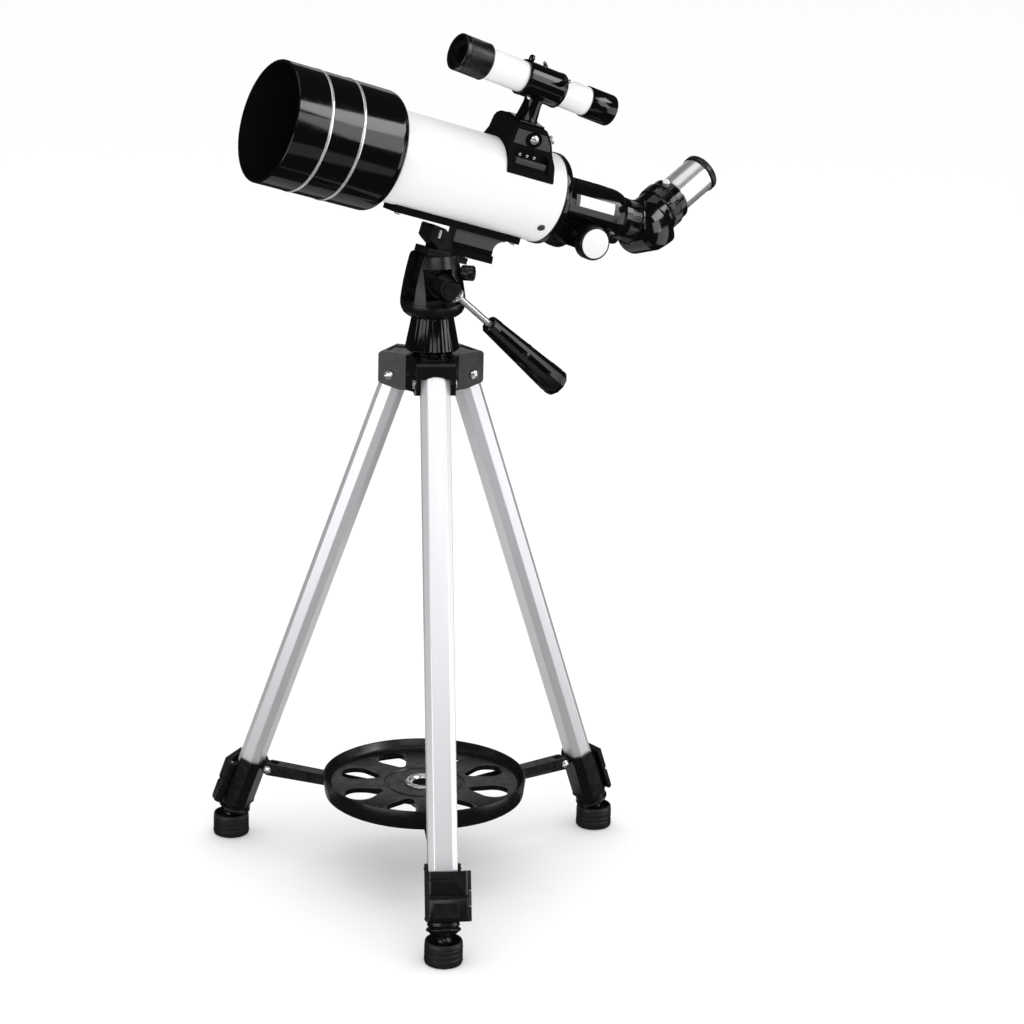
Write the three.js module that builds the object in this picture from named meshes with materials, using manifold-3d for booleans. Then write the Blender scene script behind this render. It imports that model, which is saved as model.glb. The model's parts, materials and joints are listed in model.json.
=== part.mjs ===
// A small refractor telescope on a table-top tripod, in millimetres, +Z up.
// The tripod's vertical axis carries the hub, the pan head and the tilting telescope.
import * as THREE from "three";
import { mergeVertices } from "three/addons/utils/BufferGeometryUtils.js";
import Module from "manifold-3d";

const wasm = await Module();
wasm.setup();

// ---- Driving dimensions -------------------------------------------------------------------
const DEG = Math.PI / 180;
const GAP = 0.3; // between pieces that touch

// Tripod
const LEGS = { front: -90, right: 30, left: 150 }; // azimuth of each leg
const LEG_TILT = 20.33 * DEG; // legs open against their stop
const HINGE_RADIUS = 31.4; // hub hinge, from the tripod's axis
const HINGE_HEIGHT = 444.4;
const LEG_WIDTH = 24.5;
const LEG_DEPTH = 19.4;
const LEG_CHAMFER = 5;
const LEG_WALL = 1.6;
const LEG_LENGTH = 398; // hinge to the tube's lower end
const ANKLE = 454.8; // hinge to the foot's ball, along the leg
const ANKLE_HEIGHT = 18; // the ball's centre above the floor
const CLAMP_BOTTOM = -438.3;
const KNUCKLE = { x: 9.7, y: 18.2, radius: 4.1, from: -426, to: -414 }; // lock lever's hinge
const ARM_PIVOT = { along: 393.5, inward: 19.5 };
const ARM_INNER_RADIUS = 24; // inner ends of the spreader arms
const TRAY_RADIUS = 87.8;
const TRAY_BOTTOM = 72.3;
const TRAY_FLOOR = 81.6;
const TRAY_TOP = 89.4;
const HUB_BOTTOM = 433;
const HUB_TOP = 463.5;
const HUB_EAR = 16.4; // half width of each leg's clevis

// Head
const HEAD_AZIMUTH = 21.8 * DEG; // the telescope's rear points this way
const HEAD_BOTTOM = 496.3;
const HEAD_TOP = 548.5;
const TILT_HEIGHT = 524; // tilt axis above the floor
const CHANNEL_HALF = 12.5; // half width of the slot between the head's cheeks
const HANDLE_SLOPE = 41 * DEG;
const HANDLE_SIDE = 27; // handle's distance to the side of the head's axis
const KNOB_TURN = -41.8 * DEG; // pan knob, from the telescope's rear
const KNOB_HEIGHT = 533;

// Telescope, measured along its tube from the point above the tripod's axis, rearwards positive
const TUBE_ELEVATION = 17.2 * DEG;
const TUBE_AXIS_HEIGHT = 618.7;
const TUBE_RADIUS = 38;
const TUBE_WALL = 1.2;
const TUBE_REAR = 105;
const DEW_RADIUS = 50;
const DEW_FRONT = -155.8;
const DEW_REAR = -50;
const FOCUSER_RADIUS = 22.7;
const DRAW_RADIUS = 18.6;
const EYEPIECE_RADIUS = 15.87; // 1.25 inch barrel
const PINION = { s: 146.5, h: -24.2, radius: 3.8 };
const ELBOW = 207; // where the diagonal bends
const ELBOW_ANGLE = 47 * DEG;
const ELBOW_ROLL = -17 * DEG;

// Finder, in a frame rolled about the tube's axis
const FINDER_ROLL = 10 * DEG;
const FINDER_TILT = 4 * DEG;
const FINDER_CENTRE = { s: 63, h: 90.5 };
const FINDER_RADIUS = 13;

// ---- Materials ----------------------------------------------------------------------------
const finish = (color, roughness, metalness) => () =>
  new THREE.MeshStandardMaterial({ color, roughness, metalness });
const matteBlack = finish(0x161616, 0.55, 0);
const glossBlack = finish(0x0b0b0b, 0.15, 0);
const rubber = finish(0x121212, 0.8, 0);
const whitePaint = finish(0xf2f2f0, 0.2, 0);
const aluminium = finish(0xc9ccd0, 0.35, 1);
const chrome = finish(0xdcdee0, 0.12, 1);
const glass = finish(0x2a3350, 0.05, 0);

// ---- Solids -------------------------------------------------------------------------------
// A closed geometry as a manifold solid with its faces turned outwards.
function solid(geometry) {
  const bare = geometry.index ? geometry.toNonIndexed() : geometry;
  bare.deleteAttribute("normal");
  bare.deleteAttribute("uv");
  const merged = mergeVertices(bare, 1e-4);
  const index = Array.from(merged.index.array);
  const triVerts = [];
  for (let i = 0; i < index.length; i += 3) {
    const [a, b, c] = index.slice(i, i + 3);
    if (a !== b && b !== c && c !== a) triVerts.push(a, b, c);
  }
  const build = (verts) =>
    new wasm.Manifold(
      new wasm.Mesh({
        numProp: 3,
        vertProperties: merged.attributes.position.array,
        triVerts: new Uint32Array(verts),
      }),
    );
  const made = build(triVerts);
  return made.volume() > 0 ? made : build(triVerts.reverse());
}

const TURN = {
  x: (g) => g.rotateZ(-Math.PI / 2),
  y: (g) => g,
  z: (g) => g.rotateX(Math.PI / 2),
};

// A solid of revolution about an axis; the profile lists [along the axis, radius].
function turned(axis, profile, sides = 32, at = [0, 0, 0]) {
  const points = profile.map(([along, radius]) => new THREE.Vector2(radius, along));
  return solid(TURN[axis](new THREE.LatheGeometry(points, sides)).translate(...at));
}

const rod = (axis, radius, from, to, at = [0, 0, 0], sides = 12) =>
  turned(axis, [[from, 0], [from, radius], [to, radius], [to, 0]], sides, at);

const pipe = (axis, outer, inner, from, to, sides = 48, at = [0, 0, 0]) =>
  turned(axis, [[from, inner], [from, outer], [to, outer], [to, inner], [from, inner]], sides, at);

function block([x0, y0, z0], [x1, y1, z1]) {
  const box = new THREE.BoxGeometry(x1 - x0, y1 - y0, z1 - z0);
  return solid(box.translate((x0 + x1) / 2, (y0 + y1) / 2, (z0 + z1) / 2));
}

const ball = (radius, at = [0, 0, 0], sides = 12) =>
  solid(new THREE.SphereGeometry(radius, sides, sides / 2).translate(...at));

// A flat outline raised along z, or along y with the outline's second coordinate as z.
function raised(outline, from, to, axis = "z", curveSegments = 8) {
  const shape = outline instanceof THREE.Shape
    ? outline
    : new THREE.Shape(outline.map(([a, b]) => new THREE.Vector2(a, b)));
  const depth = to - from;
  const geometry = new THREE.ExtrudeGeometry(shape, { depth, bevelEnabled: false, curveSegments });
  if (axis === "z") return solid(geometry.translate(0, 0, from));
  if (axis === "y") return solid(geometry.rotateX(Math.PI / 2).translate(0, to, 0));
  // along x: the outline's coordinates become y and z
  return solid(geometry.rotateX(Math.PI / 2).rotateZ(Math.PI / 2).translate(from, 0, 0));
}

const join = (first, ...others) => others.reduce((sum, next) => sum.add(next), first);
const cut = (first, ...others) => others.reduce((rest, next) => rest.subtract(next), first);

function rotated(body, x, y, z) {
  const matrix = new THREE.Matrix4().makeRotationFromEuler(new THREE.Euler(x, y, z, "ZYX"));
  return body.transform(matrix.toArray());
}

function mesh(name, body, material) {
  const { numProp, vertProperties, triVerts } = body.getMesh();
  const positions = new Float32Array((vertProperties.length / numProp) * 3);
  for (let i = 0; i < positions.length / 3; i++)
    positions.set(vertProperties.subarray(i * numProp, i * numProp + 3), i * 3);
  const geometry = new THREE.BufferGeometry();
  geometry.setAttribute("position", new THREE.BufferAttribute(positions, 3));
  geometry.setIndex(new THREE.BufferAttribute(triVerts, 1));
  geometry.computeVertexNormals();
  const made = new THREE.Mesh(geometry, material());
  made.name = name;
  return made;
}

function group(position, rotation, ...children) {
  const made = new THREE.Group();
  made.position.set(...position);
  made.rotation.set(...rotation, "ZYX");
  made.add(...children);
  return made;
}

// ---- Legs: x outwards, y counter-clockwise round the tripod, z up the leg from its hinge ---
function octagon(width, depth, chamfer) {
  const x = depth / 2;
  const y = width / 2;
  const corners = [[x, y - chamfer], [x - chamfer, y]];
  return [
    ...corners,
    ...corners.map(([a, b]) => [-a, b]).reverse(),
    ...corners.map(([a, b]) => [-a, -b]),
    ...corners.map(([a, b]) => [a, -b]).reverse(),
  ];
}

const legSection = (inset) =>
  octagon(LEG_WIDTH - 2 * inset, LEG_DEPTH - 2 * inset, LEG_CHAMFER - 0.6 * inset);

function legTube() {
  return cut(
    raised(legSection(0), -LEG_LENGTH, 11),
    raised(legSection(LEG_WALL), -LEG_LENGTH - 1, 12),
    rod("y", 2.9, -20, 20),
  );
}

// Inner leg with its moulded ankle: collar, bead and the ball that carries the foot.
function legExtension() {
  const bottom = -438.8;
  const ankle = turned(
    "z",
    [
      [bottom + 2, 0],
      [bottom + 2, 7],
      [bottom, 7],
      [bottom, 13.3],
      [bottom - 3, 13.3],
      [bottom - 4.2, 12.4],
      [bottom - 5.2, 14.4],
      [bottom - 7.4, 14.4],
      [bottom - 9.6, 11.5],
      [bottom - 12, 4.5],
      [bottom - 16, 4.5],
      [bottom - 16, 0],
    ],
    12,
  );
  return cut(
    join(raised(legSection(LEG_WALL + 0.5), bottom, -75), ankle, ball(7.2, [0, 0, -ANKLE])),
    raised(legSection(LEG_WALL + 1.9), bottom + 8, -74),
  );
}

// Sleeve on the tube's lower end, with the arm's lug inside and a hinge knuckle on one side.
function legClamp() {
  const lug = join(
    block([-ARM_PIVOT.inward, -2.6, -ARM_PIVOT.along - 4.6], [-12, 2.6, -ARM_PIVOT.along + 4.6]),
    rod("y", 4.6, -2.6, 2.6, [-ARM_PIVOT.inward, 0, -ARM_PIVOT.along]),
  );
  const { x, y, radius, from, to } = KNUCKLE;
  const knuckle = join(
    rod("z", radius, from, to, [x, y, 0]),
    block([x - radius, 13, from], [x + 2, y, to]),
  );
  return cut(
    join(raised(octagon(29, LEG_DEPTH + 5.5, 6.3), CLAMP_BOTTOM, -392), lug, knuckle),
    raised(octagon(LEG_WIDTH + 0.7, LEG_DEPTH + 0.7, LEG_CHAMFER), -LEG_LENGTH - GAP, -380),
    raised(legSection(LEG_WALL - 0.1), CLAMP_BOTTOM - 1, -390),
    block([5, -20, -401], [20, 20, -380]),
    rod("y", 2.4, -9, 9, [-ARM_PIVOT.inward, 0, -ARM_PIVOT.along]),
    rod("z", 1.5, -440, -410, [KNUCKLE.x, KNUCKLE.y, 0]),
  );
}

// Lever that wraps over the clamp's outer face and swings on the knuckle's pin.
function lockLever() {
  const { x, y, radius } = KNUCKLE;
  const inner = LEG_DEPTH / 2 + 2.75 + GAP;
  const outer = inner + 4.9;
  const [top, bottom] = [-397.5, CLAMP_BOTTOM];
  const seen = [
    [0, bottom],
    [outer - 2.2, bottom],
    [outer - 0.6, bottom + 4],
    [outer - 0.6, -420],
    [outer - 2.4, -419],
    [outer - 2.4, -417],
    [outer, -416],
    [outer, top + 5],
    [inner + 1, top],
    [0, top],
  ];
  const plan = [
    [inner, -13],
    [outer, -13],
    [outer, 19],
    [x + 2, y + radius],
    [x - 2, y + radius],
    [x - 4, y],
    [inner, 14.2],
  ];
  const wrap = raised(plan, bottom, top);
  const relief = block([0, 13, KNUCKLE.from - GAP], [x + radius + 0.4, 24, KNUCKLE.to + GAP]);
  const pin = rod("z", 1.2, -436, -406, [x, y, 0]);
  return join(cut(wrap.intersect(raised(seen, -14, 23, "y")), relief), pin);
}

// Rubber foot: origin at the ball it swivels on.
function footCup() {
  const floor = -ANKLE_HEIGHT;
  return turned(
    "z",
    [
      [floor, 0],
      [floor, 14.3],
      [floor + 2.5, 15.9],
      [2, 15.4],
      [2, 13.6],
      [-3.5, 13],
      [-8, 8.5],
      [-8, 0],
    ],
    16,
  );
}

// A bar with a forked outer end at its origin, running inwards along x.
const ARM_LENGTH =
  HINGE_RADIUS +
  ARM_PIVOT.along * Math.sin(LEG_TILT) -
  ARM_PIVOT.inward * Math.cos(LEG_TILT) -
  ARM_INNER_RADIUS;
function spreaderArm() {
  const outer = 5.6;
  const inner = 4;
  const half = 5.6;
  const bar = raised([[0, -outer], [ARM_LENGTH, -inner], [ARM_LENGTH, inner], [0, outer]], -half, half, "y");
  return cut(
    join(bar, rod("y", outer, -half, half), rod("y", inner, -half, half, [ARM_LENGTH, 0, 0])),
    block([-8, -2.9, -8], [8, 2.9, 8]),
    rod("y", 2.5, -10, 10),
  );
}

// A pin with a domed head at one end and a nut at the other, through parts of the given half width.
function crossBolt(radius, halfWidth, headRadius) {
  const near = halfWidth + GAP;
  return turned(
    "y",
    [
      [-near - 2, 0],
      [-near - 1, headRadius],
      [-near, headRadius],
      [-near, radius],
      [near, radius],
      [near, headRadius],
      [near + 2.2, headRadius],
      [near + 2.2, 0],
    ],
    10,
  );
}

function leg(side) {
  const azimuth = LEGS[side] * DEG;
  const upright = [0, LEG_TILT, 0];
  const pivot = [-ARM_PIVOT.inward, 0, -ARM_PIVOT.along];
  return group(
    [HINGE_RADIUS * Math.cos(azimuth), HINGE_RADIUS * Math.sin(azimuth), HINGE_HEIGHT],
    [0, -LEG_TILT, azimuth],
    mesh(`leg_tube_${side}`, legTube(), aluminium),
    mesh(`leg_clamp_${side}`, legClamp(), matteBlack),
    mesh(`lock_lever_${side}`, lockLever(), matteBlack),
    mesh(`leg_extension_${side}`, legExtension(), matteBlack),
    mesh(`hub_bolt_${side}`, crossBolt(2.5, HUB_EAR, 3.9), chrome),
    group([0, 0, -ANKLE], upright, mesh(`foot_cup_${side}`, footCup(), rubber)),
    group(
      pivot,
      upright,
      mesh(`spreader_arm_${side}`, rotated(spreaderArm(), 0, 0, Math.PI), matteBlack),
      mesh(`arm_bolt_${side}`, crossBolt(2, 5.6, 3.5), chrome),
    ),
  );
}

// ---- Hub, neck and tray: on the tripod's axis -----------------------------------------------
function hub() {
  const wingEnd = 41.5;
  const slot = LEG_WIDTH / 2 + 0.5;
  const side = [
    [0, HUB_BOTTOM],
    [24, HUB_BOTTOM],
    [wingEnd, HUB_BOTTOM + 4],
    [wingEnd, HUB_TOP],
    [0, HUB_TOP],
  ];
  const space = [
    [13.5, HUB_BOTTOM - 1],
    [13.5, HUB_TOP - 3.5],
    [39.5, HUB_TOP - 3.5],
    [40.1, HUB_TOP - 13],
    [wingEnd + 1, HUB_TOP - 13],
    [wingEnd + 1, HUB_BOTTOM - 1],
  ];
  const around = (body, azimuth) => rotated(body, 0, 0, azimuth * DEG);
  let body = rod("z", 23, HUB_BOTTOM + 1, HUB_TOP, [0, 0, 0], 20);
  const azimuths = Object.values(LEGS);
  for (const azimuth of azimuths)
    body = body.add(around(raised(side, -HUB_EAR, HUB_EAR, "y"), azimuth));
  for (const azimuth of azimuths) {
    body = body.subtract(around(raised(space, -slot, slot, "y"), azimuth));
    body = body.subtract(around(rod("y", 2.8, -30, 30, [HINGE_RADIUS, 0, HINGE_HEIGHT]), azimuth));
  }
  return body;
}

// Collar, flared cone and the pin that the head turns on.
function neckCone() {
  const flare = HUB_TOP + 4.5;
  return turned(
    "z",
    [
      [HUB_TOP + GAP, 0],
      [HUB_TOP + GAP, 16.4],
      [flare, 16.4],
      [flare, 22.8],
      [flare + 1.5, 22.8],
      [HEAD_BOTTOM - GAP, 17.4],
      [HEAD_BOTTOM - GAP, 6],
      [HEAD_BOTTOM + 8, 6],
      [HEAD_BOTTOM + 8, 0],
    ],
    24,
  );
}

// Dish with a groove in its floor, eight petal-shaped holes, and a notch in its skirt over each arm.
function tray() {
  const under = TRAY_FLOOR - 4.2;
  const dish = turned(
    "z",
    [
      [TRAY_FLOOR, 0],
      [TRAY_FLOOR, 32.6],
      [TRAY_FLOOR - 0.7, 32.6],
      [TRAY_FLOOR - 0.7, 34.5],
      [TRAY_FLOOR, 34.5],
      [TRAY_FLOOR, TRAY_RADIUS - 5.6],
      [TRAY_TOP, TRAY_RADIUS - 2.4],
      [TRAY_TOP, TRAY_RADIUS],
      [TRAY_BOTTOM + 2, TRAY_RADIUS - 1.8],
      [TRAY_BOTTOM, TRAY_RADIUS - 3],
      [TRAY_BOTTOM, TRAY_RADIUS - 5.6],
      [under, TRAY_RADIUS - 6.4],
      [under, 0],
    ],
    40,
  );
  const petal = new THREE.Shape();
  petal.moveTo(40, 0);
  petal.quadraticCurveTo(47, -11.5, 60, -13);
  petal.absarc(62.5, 0, 13, -100 * DEG, 100 * DEG, false);
  petal.quadraticCurveTo(47, 11.5, 40, 0);
  const hole = raised(petal, under - 1, TRAY_FLOOR + 1, "z", 2);
  const notch = block([TRAY_RADIUS - 9, -6.6, TRAY_BOTTOM - 1], [TRAY_RADIUS + 1, 6.6, under - 1.6]);
  let body = dish.subtract(rod("z", 12, under - 1, TRAY_FLOOR + 1, [0, 0, 0], 20));
  for (let i = 0; i < 8; i++) body = body.subtract(rotated(hole, 0, 0, (i + 0.5) * 45 * DEG));
  for (const azimuth of Object.values(LEGS))
    body = body.subtract(rotated(notch, 0, 0, azimuth * DEG));
  return body;
}

// Metal eyelet and screw that hold the tray to the spreader's hub.
function trayScrew() {
  const plate = TRAY_FLOOR + GAP;
  return turned(
    "z",
    [
      [62, 0],
      [62, 3.2],
      [plate - 1.6, 3.2],
      [plate - 1.6, 11.5],
      [plate, 11.5],
      [plate, 17],
      [plate + 2.2, 14.5],
      [plate, 10],
      [plate, 0],
    ],
    20,
  );
}

// Boss under the tray with a pair of ears for each arm's inner end.
function spreaderHub() {
  const top = TRAY_FLOOR - 4.2 - GAP;
  const bottom = 61;
  let body = rod("z", 11, bottom, top, [0, 0, 0], 28);
  for (const azimuth of Object.values(LEGS))
    for (const side of [-1, 1]) {
      const y = side > 0 ? 6 : -8.4;
      body = body.add(rotated(block([6, y, bottom + 1], [30, y + 2.4, top]), 0, 0, azimuth * DEG));
    }
  for (const azimuth of Object.values(LEGS))
    body = body.subtract(
      rotated(block([11.2, -5.95, bottom - 1], [32, 5.95, top + 1]), 0, 0, azimuth * DEG),
    );
  return body.subtract(rod("z", 3.5, bottom - 1, top + 1));
}

// ---- Head: x rearwards, y away from the handle's side --------------------------------------
function panBody() {
  const shell = turned(
    "z",
    [
      [HEAD_BOTTOM, 0],
      [HEAD_BOTTOM, 22],
      [502, 26.3],
      [509, 27.2],
      [524, 25],
      [546, 20.2],
      [HEAD_TOP, 18.5],
      [HEAD_TOP, 0],
    ],
    28,
  );
  const c = CHANNEL_HALF;
  const stem = rotated(rod("x", 2.8, 19.5, 30), 0, 0, KNOB_TURN).translate([0, 0, KNOB_HEIGHT]);
  return cut(
    shell,
    rod("z", 6.4, HEAD_BOTTOM - 1, HEAD_BOTTOM + 9),
    block([-40, -c, 510], [40, c, HEAD_TOP + 1]),
    block([-17, -40, 507], [19.5, -c + 1, 527]),
    block([-17, -40, 512], [6, -c + 1, 538]),
    rod("y", 5.4, 0, 40, [0, 0, TILT_HEIGHT]),
    rod("y", 10.4, -40, 0, [0, 0, TILT_HEIGHT], 20),
    stem,
  );
}

function panKnob() {
  return turned(
    "x",
    [
      [20, 0],
      [20, 2.4],
      [24.8, 2.4],
      [24.8, 5.9],
      [34, 5.9],
      [35, 4.8],
      [35, 0],
    ],
    12,
  );
}

// Telescope frame: x rearwards along the tube (s), z square to it (h).
const ABOVE_TILT = (TUBE_AXIS_HEIGHT - TILT_HEIGHT) * Math.cos(TUBE_ELEVATION);
const TILT_AT = {
  s: (TUBE_AXIS_HEIGHT - TILT_HEIGHT) * Math.sin(TUBE_ELEVATION),
  h: -ABOVE_TILT,
};
const PLATE_TOP = -64.5;
const PLATE_BOTTOM = -69.8;

function tiltCradle() {
  const at = [TILT_AT.s, 0, TILT_AT.h];
  const handle = rotated(rod("x", 3.7, 2.5, 20), 0, HANDLE_SLOPE - TUBE_ELEVATION, 0);
  const neck = block([14, -10, TILT_AT.h - 4], [31, 10, PLATE_BOTTOM - GAP]);
  const swept = rod("y", 22.5, -10, 10, at, 20).intersect(neck);
  return cut(
    join(
      rod("y", 11.5, -12, 12, at, 20),
      swept,
      neck,
      rod("y", 5, 0, 18, at),
      rod("y", 10, -HANDLE_SIDE - 6, -11, at, 20),
    ),
    handle.translate([TILT_AT.s, -HANDLE_SIDE, TILT_AT.h]),
  );
}

// Top plate with an upright jaw that holds the front end of the telescope's mounting rail.
function platform() {
  const jaw = new THREE.Shape();
  jaw.moveTo(2, -45.3);
  jaw.lineTo(2, -56);
  jaw.lineTo(12, -62);
  jaw.lineTo(14, PLATE_TOP - 1);
  jaw.lineTo(31, PLATE_TOP - 1);
  jaw.quadraticCurveTo(31, -52, 16, -45.3);
  return cut(
    join(
      raised(jaw, -11, 11, "y", 6),
      block([9, -12, PLATE_BOTTOM], [47, 12, PLATE_TOP]),
    ),
    rod("z", 3.4, PLATE_BOTTOM - 1, PLATE_TOP + 1, [39, 0, 0]),
  );
}

const platformScrew = () =>
  join(rod("z", 3.1, -71, -57, [39, 0, 0], 16), rod("z", 6.4, -74.6, PLATE_BOTTOM - GAP, [39, 0, 0], 16));

// Rod and grip lie along x from the tilt axis.
const handleRod = () =>
  join(
    rod("x", 3.3, 3.5, 132, [0, 0, 0], 16),
    turned("x", [[10.6, 0], [10.6, 6], [12.6, 6], [13.4, 4], [13.4, 0]], 16),
  );
function handleGrip() {
  return turned(
    "x",
    [
      [50.5, 3.6],
      [50.5, 7.4],
      [136, 12],
      [139.5, 10.6],
      [139.5, 0],
      [132.4, 0],
      [132.4, 3.6],
      [50.5, 3.6],
    ],
    16,
  );
}

// ---- Telescope ------------------------------------------------------------------------------
function mountRail() {
  const web = new THREE.Shape();
  web.moveTo(32, -42);
  web.lineTo(32, -54);
  web.lineTo(71.5, -54);
  web.quadraticCurveTo(71, -43.5, 79.5, -43);
  web.lineTo(79.5, -42);
  const strip = block([-31, -10, -43], [91, 10, -36]);
  const foot = [
    [-9.5, PLATE_TOP + GAP],
    [9.5, PLATE_TOP + GAP],
    [8.4, -58.5],
    [5, -57.5],
    [5, -53],
    [-5, -53],
    [-5, -57.5],
    [-8.4, -58.5],
  ];
  return cut(
    join(strip, raised(web, -6.5, 6.5, "y", 6), raised(foot, 32, 71.7, "x")),
    rod("x", TUBE_RADIUS + GAP + 0.1, -60, 120, [0, 0, 0], 48),
    rod("z", 3.4, -66, -56, [39, 0, 0]),
  );
}

const mainTube = () =>
  pipe("x", TUBE_RADIUS, TUBE_RADIUS - TUBE_WALL, -64, TUBE_REAR, 40);

function dewShield() {
  const bore = DEW_RADIUS - 2.2;
  const shoulder = [];
  const radius = 11;
  for (let i = 0; i <= 2; i++) {
    const turn = (i / 2) * 80 * DEG;
    shoulder.push([
      DEW_REAR - radius + radius * Math.sin(turn),
      DEW_RADIUS - 0.6 - radius + radius * Math.cos(turn),
    ]);
  }
  return turned(
    "x",
    [
      [DEW_FRONT, bore],
      [DEW_FRONT, DEW_RADIUS],
      ...shoulder,
      [DEW_REAR, TUBE_RADIUS + GAP + 0.1],
      [DEW_REAR - 13, TUBE_RADIUS + GAP + 0.1],
      [DEW_REAR - 13, bore],
      [DEW_FRONT, bore],
    ],
    40,
  );
}

// Lens ring inside the dew shield, with a spigot in the tube.
function objectiveCell() {
  return turned(
    "x",
    [
      [-82, 35.5],
      [-82, 43],
      [-80, 47.4],
      [-64.3, 47.4],
      [-64.3, 36.4],
      [-56, 36.4],
      [-56, 34],
      [-70, 34],
      [-70, 35.5],
      [-82, 35.5],
    ],
    28,
  );
}

function objectiveLens() {
  const front = [[-79.6, 0], [-78.6, 16], [-76, 28], [-74, 35]];
  return turned("x", [...front, [-71, 35], [-69, 0]], 24);
}

function focuserBody() {
  const r = FOCUSER_RADIUS;
  const outer = turned(
    "x",
    [
      [94, 0],
      [94, TUBE_RADIUS - TUBE_WALL - GAP],
      [TUBE_REAR + GAP, TUBE_RADIUS - TUBE_WALL - GAP],
      [TUBE_REAR + GAP, TUBE_RADIUS + 0.8],
      [TUBE_REAR + 6, TUBE_RADIUS + 0.4],
      [TUBE_REAR + 11, r + 4],
      [TUBE_REAR + 14, r],
      [173, r],
      [180, r - 1.2],
      [184, r - 3.3],
      [184, 0],
    ],
    28,
  );
  const housing = raised([[116, -10], [116, -24], [136, -32.5], [157, -32.5], [160, -10]], -13, 13, "y");
  return cut(
    join(outer, housing, rod("y", 9, -20.5, 20.5, [PINION.s, 0, PINION.h], 16)),
    rod("x", DRAW_RADIUS + GAP + 0.2, 93, 186, [0, 0, 0], 24),
    block([93, -4.3, -20.4], [186, 4.3, -17]),
    rod("y", PINION.radius + 0.5, -7, 7, [PINION.s, 0, PINION.h]),
    rod("y", 3.3, -22, 22, [PINION.s, 0, PINION.h]),
    lockScrewAxis(rod("z", 2.3, 17, 30)),
  );
}

// Turns a piece made along z to the focuser's lock screw: low on the rear of the body.
const lockScrewAxis = (body) => rotated(body, 125 * DEG, 0, 0).translate([169, 0, 0]);
const focusLockScrew = () =>
  lockScrewAxis(
    turned("z", [[19.4, 0], [19.4, 2], [25, 2], [25, 2.8], [27, 2.8], [27.6, 4], [32, 4], [32, 0]], 10),
  );

function drawTube() {
  const front = 127;
  const rear = 186;
  return join(
    pipe("x", DRAW_RADIUS, EYEPIECE_RADIUS + 0.35, front, rear, 24),
    block([front + 1, -3.8, -19.9], [rear - 2, 3.8, -17.6]),
  );
}

function focusShaft() {
  const pin = rod("y", 3, -27, 27, [PINION.s, 0, PINION.h]);
  return pin.add(rod("y", PINION.radius, -6, 6, [PINION.s, 0, PINION.h]));
}

function focusKnob(side) {
  const [inner, outer, r] = [22.9, 36, 14.5];
  const profile = [
    [inner, 0],
    [inner, r - 1],
    [outer, r],
    [outer, 0],
  ];
  const knob = turned("y", profile, 20).subtract(rod("y", 3.3, inner - 1, 27.5));
  const turn = side < 0 ? Math.PI : 0;
  return rotated(knob, turn, 0, 0).translate([PINION.s, 0, PINION.h]);
}

// ---- Diagonal: origin at the bend, x along the tube; the eyepiece's axis leaves at the bend angle
const towardsEyepiece = (body) => rotated(body, 0, -ELBOW_ANGLE, 0);

function diagonalHousing() {
  const nose = -46;
  const front = turned(
    "x",
    [[nose, 0], [nose, EYEPIECE_RADIUS], [-14, EYEPIECE_RADIUS], [-10, 21.5], [-6, 22.5], [2, 22.5], [2, 0]],
    20,
  );
  const holder = turned("x", [[0, 0], [0, 20], [28, 20], [30, 19], [41, 19], [41, 0]], 20);
  return cut(
    join(front, ball(22.5, [0, 0, 0], 16), towardsEyepiece(holder)),
    rod("x", 14, nose - 1, 0, [0, 0, 0], 16),
    ball(18),
    towardsEyepiece(rod("x", EYEPIECE_RADIUS + 0.5, 10, 42, [0, 0, 0], 20)),
    diagonalScrewAxis(rod("z", 2, 12, 24)),
  );
}

// A prism with its slanted face turned to send light from the tube up to the eyepiece.
function diagonalPrism() {
  const outline = [[-11, -8], [-11, 11], [-2, 14], [8, 8], [11, -4], [2, -12]];
  return raised(outline, -8, 8, "y");
}

const diagonalScrewAxis = (body) =>
  towardsEyepiece(rotated(body, 40 * DEG, 0, 0).translate([34, 0, 0]));
const diagonalScrew = () =>
  diagonalScrewAxis(
    turned("z", [[16.8, 0], [16.8, 1.7], [20.5, 1.7], [20.5, 3.2], [25.5, 3.2], [25.5, 0]], 10),
  );

const eyepieceBarrel = () =>
  towardsEyepiece(pipe("x", EYEPIECE_RADIUS, EYEPIECE_RADIUS - 1.3, 20, 76, 24));
const eyecup = () =>
  towardsEyepiece(
    turned("x", [[76.3, 9], [76.3, 16.9], [81.6, 16.9], [82.4, 16], [82.4, 11], [79, 9], [76.3, 9]], 24),
  );

// ---- Finder ---------------------------------------------------------------------------------
// Saddle on the tube: a front wall, side plates with a window below each, and a slab for the post.
function finderBase() {
  const across = [
    [-17, 59], [17, 59], [20, 55], [21, 41], [27, 33], [34, 21], [32, 17],
    [-32, 17], [-34, 21], [-27, 33], [-21, 41], [-20, 55],
  ];
  const along = [[42, 10], [42, 54], [46, 59], [75, 59], [84, 47], [90, 32], [90, 10]];
  const window = [[49, 25], [84, 25], [84, 35], [79, 39.5], [49, 39.5]];
  return cut(
    raised(across, 40, 92, "x").intersect(raised(along, -38, 38, "y")),
    rod("x", TUBE_RADIUS + GAP + 0.1, 30, 100, [0, 0, 0], 48),
    raised(window, -45, -21, "y"),
    raised(window, 21, 45, "y"),
  );
}

// Post and ring; the ring follows the finder's own axis.
const finderAxis = (body) =>
  rotated(body, 0, FINDER_TILT, 0).translate([FINDER_CENTRE.s, 0, FINDER_CENTRE.h]);
const SCREW_ROLL = 60 * DEG;
const SCREW_AT = 11;
const finderScrewAxis = (body, side) =>
  finderAxis(rotated(body, side * SCREW_ROLL, 0, 0).translate([SCREW_AT, 0, 0]));

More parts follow.
